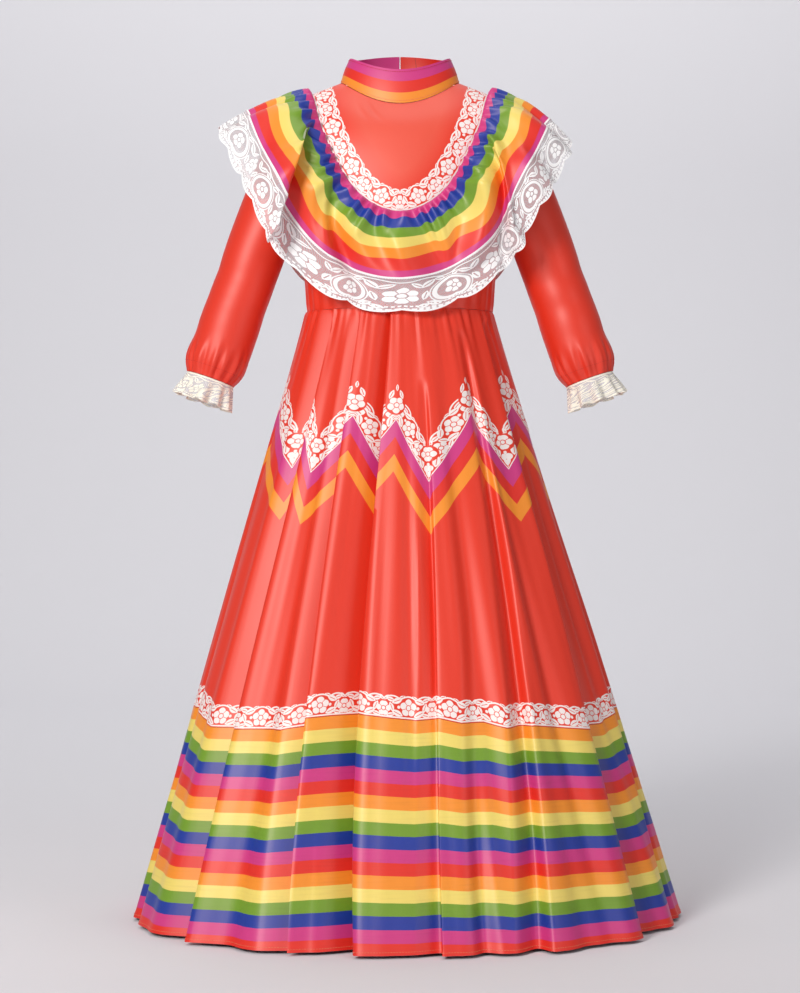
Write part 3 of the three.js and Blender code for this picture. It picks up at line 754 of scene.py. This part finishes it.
def flounce_point(share, drop):
    """A point of the flounce and its lace: share runs along the seam, drop is 1 at the cloth's edge."""
    share, drop = np.broadcast_arrays(np.asarray(share, float), np.asarray(drop, float))
    angle = np.interp(np.clip(share, 0, 1) * SEAM_STEPS, np.arange(SEAM_STEPS + 1), SEAM_ANGLES)
    out = body_normal(angle, seam_level(angle))
    around = unit(seam_point(angle + 0.5) - seam_point(angle - 0.5))
    fall = np.cross(around, out)
    at = seam_point(angle) + out * FLOUNCE_SEAT
    droop = FLOUNCE_DROOP * (1 + DROOP_LEAN * np.sin(np.radians(angle)))
    from_stand = np.abs((share - 0.5) * SEAM_LENGTH) - FLOUNCE_STAND["at"]
    stand = FLOUNCE_STAND["degrees"] * valley(from_stand / FLOUNCE_STAND["width"])
    steps = 12
    for k in range(steps):
        here = drop * (k + 0.5) / steps
        puff = FLOUNCE_PUFF * (1 - smooth(here / 0.7)) + stand * (1 - smooth((here - 0.6) / 0.7))
        puff = np.radians(puff)[..., None]
        heading = fall * np.cos(puff) + out * np.sin(puff)
        heading[..., 2] -= droop * (smooth(here) + np.maximum(0, here - 1))
        heading = unit(heading)
        at = at + heading * (FLOUNCE_DEPTH * drop / steps)[..., None]
    depth, slide = flounce_folds(share, drop)
    lift = GATHER_HEIGHT * gathering(share, drop) * smooth(drop / 0.08 + 0.25)
    lift = lift + (RIPPLE_HEIGHT * rippling(share) + 4) * spreading(drop) - depth
    return at + np.cross(heading, around) * lift[..., None] + around * slide[..., None]


def skirt_radius(angle, down):
    def mix(key):
        return lerp(SKIRT_WAIST[key], SKIRT_HEM[key], down)
    square = mix("square")
    facing = np.cos(np.radians(angle))
    side = np.abs(np.sin(np.radians(angle))) / mix("half_width")
    depth = np.where(facing > 0, mix("front"), mix("back"))
    return (side ** square + (np.abs(facing) / depth) ** square) ** (-1 / square)


def along_fold(fold, down):
    """The angle that a fold's line or a hollow's middle has at a height."""
    return (fold["top"] * (1 - down) * (1 - 2 * down) + fold["middle"] * 4 * down * (1 - down)
            + fold["hem"] * down * (2 * down - 1))


def fold_at(fold, down):
    """Where a fold lies at a height: its middle and half width in degrees, and how far it has grown."""
    edge = along_fold(fold, down)
    scale = lerp(FOLD_WIDTH_AT_WAIST, 1, down)
    degree = np.radians(skirt_radius(edge, down))
    offset = np.sign(fold["lean"]) * (fold["width"] + abs(fold["lean"])) / 2
    grown = np.maximum(0, (down - fold["start"]) / (1 - fold["start"])) ** fold["growth"]
    return edge - offset * scale / degree, fold["width"] * scale / degree, grown


def skirt_point(angle, down, lift=0.0):
    """A point of the skirt; lift moves it out from the smooth form."""
    angle = (np.asarray(angle, float) + 180) % 360 - 180
    depth = np.zeros(np.broadcast(angle, down).shape) - lift
    slide = np.zeros_like(depth)
    for fold in SKIRT_FOLDS:
        middle, half, grown = fold_at(fold, down)
        amount = valley((angle - middle) / half) * grown
        depth = depth + fold["depth"] * amount
        slide = slide + fold["lean"] * amount
    for hollow in SKIRT_HOLLOWS:
        middle = along_fold(hollow, down)
        half = hollow["width"] * lerp(FOLD_WIDTH_AT_WAIST, 1, down) / np.radians(skirt_radius(middle, down))
        depth = depth + hollow["depth"] * valley((angle - middle) / half) * down ** 0.5
    turn = np.radians(angle)
    reach = skirt_radius(angle, down) - depth
    x = reach * np.sin(turn) + slide * np.cos(turn) + lerp(SKIRT_WAIST["shift"], SKIRT_HEM["shift"], down)
    y = -reach * np.cos(turn) + slide * np.sin(turn)
    return np.stack(np.broadcast_arrays(x, y, lerp(WAIST_Z, HEM_Z, down)), -1)


# ---------------------------------------------------------------- making cloth

def shell_quads(rows, spans, is_tube):
    """The faces of a grid of points in two layers: the row, column and layer of each face's corners."""
    i, j = [a.ravel() for a in np.meshgrid(np.arange(rows - 1), np.arange(spans), indexing="ij")]
    edge, side, last = np.arange(spans), np.arange(rows - 1), rows - 1
    quads = [
        [(i, j, 0), (i + 1, j, 0), (i + 1, j + 1, 0), (i, j + 1, 0)],
        [(i, j, 1), (i, j + 1, 1), (i + 1, j + 1, 1), (i + 1, j, 1)],
        [(0, edge, 0), (0, edge + 1, 0), (0, edge + 1, 1), (0, edge, 1)],
        [(last, edge, 0), (last, edge, 1), (last, edge + 1, 1), (last, edge + 1, 0)],
    ]
    if not is_tube:
        quads.append([(side, 0, 0), (side, 0, 1), (side + 1, 0, 1), (side + 1, 0, 0)])
        quads.append([(side, spans, 0), (side + 1, spans, 0), (side + 1, spans, 1), (side, spans, 1)])
    corners = np.concatenate([np.stack([np.stack(np.broadcast_arrays(*corner), -1) for corner in quad], 1)
                              for quad in quads])
    return corners[..., 0], corners[..., 1], corners[..., 2]


def build_cloth(name, points, finish, maps, wall=CLOTH, is_tube=False):
    """A closed thin shell from rows of points in millimetres, top row first, columns by rising angle.

    It replaces the solid of the same name. maps gives named cloth
    coordinates for each point, and a tube's have one more column, for the turn back to its first. wall is
    a number, or one for each row."""
    rows, columns = points.shape[:2]
    if is_tube:
        across = np.roll(points, -1, 1) - np.roll(points, 1, 1)
    else:
        across = np.gradient(points, axis=1)
    normals = unit(np.cross(np.gradient(points, axis=0), across))
    thick = np.broadcast_to(np.asarray(wall, float).reshape(-1, 1, 1), (rows, 1, 1)) / 2
    layers = np.stack([points + normals * thick, points - normals * thick])
    row, column, layer = shell_quads(rows, columns if is_tube else columns - 1, is_tube)
    faces = layer * rows * columns + row * columns + column % columns
    mesh = bpy.data.meshes.new(name)
    mesh.from_pydata((layers.reshape(-1, 3) * MM).tolist(), [], faces.tolist())
    for map_name, values in maps.items():
        uv = mesh.uv_layers.new(name=map_name)
        uv.data.foreach_set("uv", (values[row, column] * MM).astype(np.float32).ravel())
    mark = mesh.attributes.new("wrong_side", "FLOAT", "POINT")
    mark.data.foreach_set("value", np.repeat([0.0, 1.0], rows * columns).astype(np.float32))
    mesh.polygons.foreach_set("use_smooth", np.ones(len(faces), bool))
    mesh.set_sharp_from_angle(angle=radians(60))
    mesh.materials.append(finish)
    mesh.update()
    piece = add_object(name + "_cloth", mesh)
    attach(piece, "root")
    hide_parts(name)


def lengths_along(points, axis):
    """Cloth length from the first row or column of points to each one."""
    steps = np.linalg.norm(np.diff(points, axis=axis), axis=-1)
    pad = [(0, 0), (0, 0)]
    pad[axis] = (1, 0)
    return np.pad(np.cumsum(steps, axis=axis), pad)


def grid_map(across, down):
    """A cloth map from the two coordinates of each point of a grid."""
    return np.stack(np.broadcast_arrays(across, down), -1)


# ---------------------------------------------------------------- bodice and collar

def trim_map(points, is_above):
    """The length along the flounce's seam next to each point, and how far above the seam it is."""
    seam = seam_point(SEAM_ANGLES)
    flat = points.reshape(-1, 3)
    nearest = np.empty(len(flat))
    away = np.empty(len(flat))
    batch = 2000
    for k in range(0, len(flat), batch):
        gap = np.linalg.norm(flat[k:k + batch, None] - seam[None], axis=2)
        nearest[k:k + batch] = gap.argmin(1)
        away[k:k + batch] = gap.min(1)
    along = nearest / SEAM_STEPS * SEAM_LENGTH
    return grid_map(along.reshape(is_above.shape), away.reshape(is_above.shape) * np.where(is_above, 1, -1))


def bodice_panel(name, start, end, columns, finish):
    level = np.linspace(0, 1, BODICE_ROWS)[:, None]
    left = start + PANEL_GAP + (armhole_inset(level) if abs(start) == BODY_SIDE else 0)
    right = end - PANEL_GAP - (armhole_inset(level) if abs(end) == BODY_SIDE else 0)
    level, angle = np.broadcast_arrays(level, lerp(left, right, np.linspace(0, 1, columns)[None, :]))
    turn = np.radians(angle)
    pleats = np.cos(turn * 34 + 0.6 * np.sin(turn * 5)) * (0.5 + 0.5 * np.abs(np.sin(turn)))
    relief = pleats * smooth((level - 0.82) / 0.18) * (1 - 0.6 * smooth((level - 0.97) / 0.03))
    for crease in CHEST_CREASES:
        below = level - crease["level"]
        away = (angle - crease["angle"] - crease["slope"] * below) / crease["width"]
        relief = relief - crease["depth"] * np.exp(-away ** 2 - (below / crease["reach"]) ** 2)
    points = body_point(angle, level) + body_normal(angle, level) * relief[..., None]
    maps = {"trim": trim_map(points, level < seam_level(angle))}
    build_cloth(name, points, finish, maps)


def make_bodice(finish):
    bodice_panel("bodice_front", -BODY_SIDE, BODY_SIDE, BODICE_FRONT_COLUMNS, finish)
    bodice_panel("bodice_back_left", BODY_SIDE, 180, BODICE_BACK_COLUMNS, finish)
    bodice_panel("bodice_back_right", -180, -BODY_SIDE, BODICE_BACK_COLUMNS, finish)


def collar_point(angle, share, out=0.0):
    """A point of the collar, from its top, 0, to its foot, 1, and how far out from its middle."""
    foot = oval_point(BODY_RINGS[0], angle) + np.array([0, 0, COLLAR_LIFT])
    points = lerp(oval_point(COLLAR_TOP, angle), foot, share)
    return points + outward_in_plan(points) * (COLLAR_BULGE * np.sin(np.pi * share) + out)


def make_collar(finish):
    back = 180 - np.degrees(COLLAR_SLIT / BODY_RINGS[0]["back"])
    rows, columns = COLLAR_GRID
    angle = np.linspace(-back, back, columns)[None, :]
    share = np.linspace(0, 1, rows)[:, None]
    maps = {"cloth": grid_map((angle / back + 1) / 2 * COLLAR_LENGTH, share)}
    build_cloth("collar", collar_point(angle, share[..., None]), finish,
                maps)


# ---------------------------------------------------------------- sleeves

ARM_AXIS = unit(CUFF_CENTRE - SLEEVE_HEAD)
ARM_OUT = unit(np.cross([0, -1, 0], ARM_AXIS))
ARM_FRONT = np.cross(ARM_AXIS, ARM_OUT)
SIDES = [("left", 1), ("right", -1)]    # the left arm's shapes are mirrored for the right one


def arm_middle(along):
    return lerp(SLEEVE_HEAD, CUFF_CENTRE, along[..., None])


def from_arm(middle, turn, radius):
    """A point at a radius from the arm's middle line; turn is 0 at the top and 90 at the front."""
    around = np.radians(turn)
    return (middle + ARM_OUT * (radius * np.cos(around))[..., None]
            + ARM_FRONT * (radius * np.sin(around))[..., None])


def sleeve_point(turn, along):
    top, front = np.cos(np.radians(turn)), np.sin(np.radians(turn))
    level = ARMHOLE["level"] - ARMHOLE["half_height"] * top
    angle = 90 - ARMHOLE["half_angle"] * front
    seam = body_point(angle, level)
    hole = body_point(np.array(90.0), np.array(ARMHOLE["level"]))
    seam = seam + unit(hole - seam) * ARMHOLE_GAP + np.array([ARMHOLE_GAP, 0, 0])
    seam = seam + body_normal(angle, level) * (UNDERARM_LIFT * (1 - top) / 2)[..., None]
    tube = from_arm(arm_middle(along), turn, follow(SLEEVE_ROWS, "along", "radius", along))
    blend = smooth(along / SLEEVE_HEAD_BLEND) ** (1 + UNDERARM_HOLD * (1 - top) / 2)
    return lerp(seam, tube, blend[..., None])


def sleeve_creases(turn, along):
    """Short gathers above the elastic, and soft creases at the elbow."""
    around = np.radians(turn)
    gathers = np.cos(around * 13 + 1.5 * np.sin(around * 3)) + 0.4 * np.cos(around * 23 + 1)
    lift = 1.9 * gathers * smooth((along - 0.82) / 0.13) * (1 - 0.5 * smooth((along - 0.97) / 0.03))
    for crease in ELBOW_CREASES:
        facing = np.cos(np.radians(turn - crease["facing"])) * 0.5 + 0.5
        away = (along - crease["along"] - 0.05 * facing) / crease["spread"]
        lift = lift - crease["depth"] * np.exp(-away ** 2) * facing ** 2
    return lift


def creased_sleeve_point(turn, along):
    points = sleeve_point(turn, along)
    return points + unit(points - arm_middle(along)) * sleeve_creases(turn, along)[..., None]


def cuff_lace_point(turn, drop):
    around = np.radians(turn)
    wave = np.cos(around * CUFF_LACE["ruffles"] + 0.8 * np.sin(around * 2)) + 0.35 * np.cos(around * 7 + 1)
    drop = drop * (0.91 + 0.09 * np.abs(np.sin(around * CUFF_LACE["scallops"] / 2)))
    radius = CUFF_LACE["radius"] + CUFF_LACE["flare"] * drop + CUFF_LACE["ruffle_depth"] * drop * wave
    middle = CUFF_CENTRE + ARM_AXIS * (CUFF_LACE["start"] + CUFF_LACE["depth"] * drop)[..., None]
    return from_arm(middle, turn, radius)


def arm_tube(name, point, drops, columns, side, finish, wall=CLOTH):
    turn = -side * np.arange(columns + 1)[None, :] * 360 / columns
    turn, drop = np.broadcast_arrays(turn, drops[:, None])
    points = point(turn, drop) * np.array([side, 1, 1])
    maps = {"cloth": grid_map(lengths_along(points, 1), lengths_along(points, 0))}
    build_cloth(name, points[:, :-1], finish, maps, wall, is_tube=True)


def make_sleeves(cloth_finish, lace_finish):
    drops = np.concatenate([np.linspace(0, 0.85, 56)[:-1], np.linspace(0.85, 1, 24)])   # closer at the cuff
    lace_rows, lace_columns = CUFF_LACE_GRID
    for name, side in SIDES:
        arm_tube(f"sleeve_{name}", creased_sleeve_point, drops, SLEEVE_COLUMNS, side, cloth_finish)
        arm_tube(f"cuff_lace_{name}", cuff_lace_point, np.linspace(0, 1, lace_rows), lace_columns, side,
                 lace_finish, LACE_CLOTH)


# ---------------------------------------------------------------- flounce

def make_flounce(finish):
    rows, columns = FLOUNCE_GRID
    share = np.linspace(0, 1, columns)[None, :]
    drop = np.linspace(0, 1, rows)[:, None] ** 1.2
    gathers = GATHER_TAKE_UP * gathering(share, drop) * smooth(drop / 0.2)
    folds = RIPPLE_TAKE_UP * rippling(share) + FOLD_TAKE_UP * flounce_folds(share, drop)[0]
    body = smooth(drop / 0.5) * (1 - smooth((drop - 0.7) / 0.3))
    maps = {"cloth": grid_map(share * FLOUNCE_CUT / MM, drop * FLOUNCE_DEPTH + gathers + folds * body)}
    build_cloth("flounce", flounce_point(share, drop), finish,
                maps)


def make_flounce_lace(finish):
    rows, columns = FLOUNCE_LACE_GRID
    share = np.linspace(0, 1, columns)[None, :]
    depth = np.linspace(0, 1, rows)[:, None]
    cusp = 1 - np.abs(np.sin(np.pi * SCALLOPS * share))
    down = depth * (FLOUNCE_LACE_DEPTH + LACE_LAP - SCALLOP_DEPTH * cusp)
    drop = 1 + (down - LACE_LAP) / FLOUNCE_DEPTH
    normals = normal_of(flounce_point, np.clip(share, 0.001, 0.999), np.maximum(drop, 0.01), 0.001, 0.01)
    over_edge = 1.1 * (1 - smooth((down - LACE_LAP) / 4))
    points = flounce_point(share, drop) + normals * over_edge[..., None]
    maps = {"cloth": grid_map(share * FLOUNCE_CUT / MM, depth * (FLOUNCE_LACE_DEPTH + LACE_LAP))}
    build_cloth("flounce_lace", points, finish,
                maps, LACE_CLOTH)


# ---------------------------------------------------------------- skirt

def panel_angles(start, end, down):
    """The columns of a skirt panel at some heights: each fold brings its own, with even ones between."""
    stations = [(start + 0 * down, start + 0 * down, start)]
    for fold in sorted(SKIRT_FOLDS, key=lambda fold: (fold["hem"] - start) % 360):
        seat = (fold["hem"] - start) % 360 + start
        if seat < end:
            middle, half, _ = fold_at(fold, down)
            centre = middle + seat - fold["hem"]
            stations.append((centre - half, centre + half, seat))
    stations.append((end + 0 * down, end + 0 * down, end))
    angles = []
    for k, (low, high, seat) in enumerate(stations):
        if k > 0:
            _, before, seat_before = stations[k - 1]
            count = max(2, round((seat - seat_before) / EVEN_STEP))
            angles += [lerp(before, low, n / count) for n in range(1, count)]
        if 0 < k < len(stations) - 1:
            angles += [lerp(low, high, n / FOLD_COLUMNS) for n in range(FOLD_COLUMNS + 1)]
        else:
            angles.append(low)
    return np.concatenate(angles, axis=1)


def waist_gathers(angle, down):
    """Small uneven gathers under the waist seam, stronger at the sides."""
    turn = np.radians(angle)
    wave = np.cos(turn * 41 + 1.3 * np.sin(turn * 5)) + 0.6 * np.cos(turn * 67 + 2 * np.sin(turn * 3))
    strength = 0.45 + 0.55 * np.abs(np.sin(turn))
    fade = np.exp(-down / 0.05) * smooth(down / 0.006 + 0.3)
    return 1.5 * wave * strength * fade


def skirt_ripples(angle, down):
    """Soft uneven ripples that run down the skirt between its folds."""
    turn = np.radians(angle)
    wave = np.cos(turn * 37 + 2.2 * np.sin(turn * 5 + 1)) + 0.6 * np.cos(turn * 52 + 1.5 * np.sin(turn * 7))
    return 1.5 * wave * smooth(down / 0.6)


def seam_puckers(angle, below_seam):
    turn = np.radians(angle)
    wave = np.cos(turn * 90 + 2 * np.sin(turn * 7)) * (0.6 + 0.4 * np.sin(turn * 11 + 1))
    return 0.8 * wave * np.exp(-np.abs(below_seam) / 14)


def seam_sag(angle):
    """How far the band's seam hangs below its level at some angles: it slants between the folds."""
    level = np.array((WAIST_Z - BAND_SEAM_Z) / SKIRT_HEIGHT)
    knots = []
    for fold in SKIRT_FOLDS:
        middle, half, _ = fold_at(fold, level)
        knots += [(float(middle - half), fold["sag"][0]), (float(middle + half), fold["sag"][1])]
    places, values = zip(*sorted(knots))
    return np.interp(angle, places, values, period=360)


def zigzag_map(level_angles, angle):
    """The zigzag's phase in each column, and its rise towards the sides."""
    line = skirt_point(level_angles, ZIGZAG_LEVEL + 0 * level_angles)
    length = lengths_along(line[None], 1)[0]
    knots = np.array([row["angle"] + (360 if row["angle"] < level_angles[0] - 1 else 0) for row in ZIGZAG])
    order = np.argsort(knots)
    phases = np.array([row["phase"] for row in ZIGZAG])[order]
    phase = np.interp(length, np.interp(knots[order], level_angles, length), phases)
    return grid_map(phase[None, :], ZIGZAG_RISE * np.sin(np.radians(angle)) ** 2)


def skirt_panel(name, start, end, finish, is_band):
    """A panel of the skirt, from the waist to the band's slanting seam, or of the band below it."""
    levels = np.linspace(0, 1, LEVEL_STEPS + 1)
    columns = panel_angles(start, end, levels[:, None])
    columns[:, 0] += SIDE_GAP
    columns[:, -1] -= SIDE_GAP
    sag = seam_sag(columns[round((WAIST_Z - BAND_SEAM_Z) / SKIRT_HEIGHT * LEVEL_STEPS)])[None, :]
    seam_z = BAND_SEAM_Z - sag
    seam = (WAIST_Z - seam_z) / SKIRT_HEIGHT
    if is_band:
        top, bottom = seam + BAND_GAP / SKIRT_HEIGHT, 1.0
    else:
        top, bottom = WAIST_GAP / SKIRT_HEIGHT, seam - BAND_GAP / SKIRT_HEIGHT
    rows = BAND_ROWS if is_band else SKIRT_ROWS
    down = lerp(top, bottom, np.linspace(0, 1, rows)[:, None])
    angle = np.stack([np.interp(down[:, k], levels, columns[:, k]) for k in range(down.shape[1])], 1)
    z = lerp(WAIST_Z, HEM_Z, down)
    lift = waist_gathers(angle, down) + skirt_ripples(angle, down) + seam_puckers(angle, z - seam_z)
    points = skirt_point(angle, down, lift)
    wall = np.full(rows, CLOTH)
    if is_band:
        share = (seam_z - z) / (seam_z - HEM_Z)
        cloth_down = (BAND_SEAM_Z - z - sag * (1 - HEM_STRIPE_LEVELLING * share)) * SLANT
        maps = {"cloth": grid_map(lengths_along(points, 1)[0], cloth_down)}
        wall = wall + CLOTH * smooth((z[:, 0] - HEM_Z - HEM_TURNING) / -2)
    else:
        along = lengths_along(points, 1)[-1]
        maps = {
            "cloth": grid_map(along, (WAIST_Z - z) * SLANT),
            "seam": grid_map(along, (z - seam_z) * SLANT),
            "zigzag": zigzag_map(columns[round(ZIGZAG_LEVEL * LEVEL_STEPS)], angle),
        }
    build_cloth(name, points, finish, maps, wall)


# The cut of each side, in metres: width and length of the panel and of the band, and their flat areas.
SKIRT_CUTS = table(
    "side start end panel panel_area band band_area",
    ("front", -SKIRT_SEAM, SKIRT_SEAM, (1.24, 0.55), 0.43, (1.34, 0.285), 0.365),
    ("back", SKIRT_SEAM, 360 - SKIRT_SEAM, (0.89, 0.55), 0.315, (1.07, 0.285), 0.28),
)


def make_skirt(skirt_finish, band_finish):
    for cut in SKIRT_CUTS:
        skirt_panel(f"skirt_{cut['side']}", cut["start"], cut["end"], skirt_finish,
                    is_band=False)
        skirt_panel(f"hem_band_{cut['side']}", cut["start"], cut["end"], band_finish,
                    is_band=True)


# ---------------------------------------------------------------- sewing

STITCH_SHARE = 0.72         # of the pitch, the rest is the gap between two stitches
THREAD_RADIUS = 0.24
LONG_PITCH, SHORT_PITCH = 3.4, 3.0
# Each row's place on its piece, and how far out from the middle of the cloth it lies.
HEM_ROW = dict(rise=3.6, out=1.2)
LACE_ROW = dict(rise=0.6, out=1.75)
COLLAR_ROWS = dict(lower=0.93, upper=0.07, out=0.95, end=179)
YOKE_ROW = dict(rise=0.004, out=0.6)
ELASTIC_ROW = dict(along=0.955, out=CLOTH / 2 + 0.1)


def stitch_nodes():
    """Geometry nodes that lay a row of stitches along a path."""
    tree = bpy.data.node_groups.new("stitch_row", "GeometryNodeTree")
    for name, kind in [("Path", "Geometry"), ("Pitch", "Float"), ("Length", "Float"), ("Radius", "Float"),
                       ("Seed", "Int"), ("Thread", "Material")]:
        tree.interface.new_socket(name, in_out="INPUT", socket_type="NodeSocket" + kind)
    tree.interface.new_socket("Stitches", in_out="OUTPUT", socket_type="NodeSocketGeometry")
    given, path, points, turn, stitch, vary, place, realize, thread, result = [
        tree.nodes.new(kind) for kind in [
            "NodeGroupInput", "GeometryNodeMeshToCurve", "GeometryNodeCurveToPoints",
            "FunctionNodeAlignRotationToVector", "GeometryNodeMeshCylinder", "FunctionNodeRandomValue",
            "GeometryNodeInstanceOnPoints", "GeometryNodeRealizeInstances", "GeometryNodeSetMaterial",
            "NodeGroupOutput"]]
    points.mode = "LENGTH"
    turn.axis = "Z"
    stitch.inputs["Vertices"].default_value = 6
    vary.inputs["Min"].default_value = 0.88
    vary.inputs["Max"].default_value = 1.06
    for source, output, target, entry in [
            (given, "Path", path, 0), (path, 0, points, "Curve"), (given, "Pitch", points, "Length"),
            (points, "Tangent", turn, "Vector"), (given, "Radius", stitch, "Radius"),
            (given, "Length", stitch, "Depth"), (given, "Seed", vary, "Seed"),
            (points, "Points", place, "Points"), (stitch, "Mesh", place, "Instance"),
            (turn, 0, place, "Rotation"), (vary, "Value", place, "Scale"), (place, 0, realize, 0),
            (realize, 0, thread, "Geometry"), (given, "Thread", thread, "Material"),
            (thread, 0, result, 0)]:
        tree.links.new(source.outputs[output], target.inputs[entry])
    return tree


def sew(name, path, closed, thread, tree, pitch=SHORT_PITCH):
    """A row of stitches along a path of points in millimetres."""
    count = len(path)
    edges = [(k, (k + 1) % count) for k in range(count if closed else count - 1)]
    line = bpy.data.meshes.new(name + "_path")
    line.from_pydata((path * MM).tolist(), edges, [])
    guide = add_object(name + "_path", line)
    modifier = guide.modifiers.new("stitches", "NODES")
    modifier.node_group = tree
    values = {"Pitch": pitch * MM, "Length": pitch * STITCH_SHARE * MM, "Radius": THREAD_RADIUS * MM,
              "Seed": 5, "Thread": thread}
    for item in tree.interface.items_tree:
        if item.in_out == "INPUT" and item.name in values:
            modifier[item.identifier] = values[item.name]
    mesh = bpy.data.meshes.new_from_object(guide.evaluated_get(bpy.context.evaluated_depsgraph_get()))
    bpy.data.objects.remove(guide)
    mesh.name = name
    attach(add_object(name, mesh), "root")


def skirt_row(height, out):
    """A closed path round the skirt at a height, standing off the cloth's middle."""
    down = np.array([[(WAIST_Z - height) / SKIRT_HEIGHT]])
    angle = np.concatenate([panel_angles(cut["start"], cut["end"], down)[0, :-1] for cut in SKIRT_CUTS])
    at = down[0, 0] + 0 * angle
    cloth = skirt_point(angle, at, skirt_ripples(angle, at))
    return cloth + normal_of(skirt_point, angle, at, 0.2, 0.002) * out


def make_sewing():
    tree = stitch_nodes()
    orange = plain_thread("orange_thread", colour(250, 150, 110))
    red = plain_thread("red_thread", DARK_RED)
    white = plain_thread("white_thread", colour(248, 244, 244))
    sew("hem_topstitch", skirt_row(HEM_Z + HEM_ROW["rise"], HEM_ROW["out"]), True, orange, tree, LONG_PITCH)

    share = np.linspace(0.002, 0.998, 900)
    drop = 1 - LACE_ROW["rise"] / FLOUNCE_DEPTH + 0 * share
    row = flounce_point(share, drop) + normal_of(flounce_point, share, drop, 0.001, 0.01) * LACE_ROW["out"]
    sew("lace_stitching", row, False, white, tree, LONG_PITCH)

    angle = np.linspace(-COLLAR_ROWS["end"], COLLAR_ROWS["end"], 240)
    for name, thread in [("lower", orange), ("upper", red)]:
        row = collar_point(angle, COLLAR_ROWS[name], COLLAR_ROWS["out"])
        sew(f"collar_{name}_stitching", row, False, thread, tree)

    angle = SEAM_ANGLES[::2]
    level = seam_level(angle) - YOKE_ROW["rise"]
    row = body_point(angle, level) + body_normal(angle, level) * YOKE_ROW["out"]
    sew("yoke_seam_stitching", row, False, white, tree)

    turn = np.linspace(0, 360, 97)[:-1]
    along = ELASTIC_ROW["along"] + 0 * turn
    row = creased_sleeve_point(turn, along)
    row = row + unit(row - arm_middle(along)) * ELASTIC_ROW["out"]
    for name, side in SIDES:
        sew(f"cuff_elastic_stitching_{name}", row * np.array([side, 1, 1]), True, red, tree)


# ---------------------------------------------------------------- the stage

BACKDROP = dict(floor_gap=0.004, bend=1.6, bend_steps=16, reach=7.0, wall_y=4.6, height=6.0)


def make_stage():
    """A pale floor that turns up into a pale backdrop."""
    floor_z = HEM_Z * MM - BACKDROP["floor_gap"]
    bend, reach, wall_y = BACKDROP["bend"], BACKDROP["reach"], BACKDROP["wall_y"]
    profile = [(-reach, floor_z)]
    for k in range(BACKDROP["bend_steps"] + 1):
        turn = pi / 2 * k / BACKDROP["bend_steps"]
        profile.append((wall_y - bend + bend * sin(turn), floor_z + bend * (1 - cos(turn))))
    profile.append((wall_y, BACKDROP["height"]))
    count = len(profile)
    corners = [(x, y, z) for x in (-reach, reach) for y, z in profile]
    faces = [(k, count + k, count + k + 1, k + 1) for k in range(count - 1)]
    mesh = bpy.data.meshes.new("backdrop")
    mesh.from_pydata(corners, [], faces)
    mesh.polygons.foreach_set("use_smooth", np.ones(len(faces), bool))
    paper = Finish("backdrop_paper")
    shade = paper.mix(paper.noise(0.8, 1.0) * 0.2, colour(226, 225, 229), colour(220, 219, 223))
    mesh.materials.append(paper.shaded(Base_Color=shade, Roughness=0.9))
    add_object("backdrop", mesh)


make_camera()
make_lights()
make_stage()
make_bodice(satin("red_satin_with_yoke_trim", bodice_paint))
make_collar(satin("striped_collar_satin", collar_paint, 0.0))
make_sleeves(satin("red_satin_plain", plain_paint),
             lace("cream_lace", colour(255, 250, 234), width=33.0, period=52.0, net_cover=0.30))
make_flounce(satin("striped_flounce_satin", flounce_paint))
make_flounce_lace(lace("white_lace", colour(252, 250, 250), width=46.0, period=75.0, net_cover=0.08))
make_skirt(satin("red_satin_with_zigzag", skirt_paint), satin("striped_hem_satin", hem_paint, 0.75))
make_sewing()
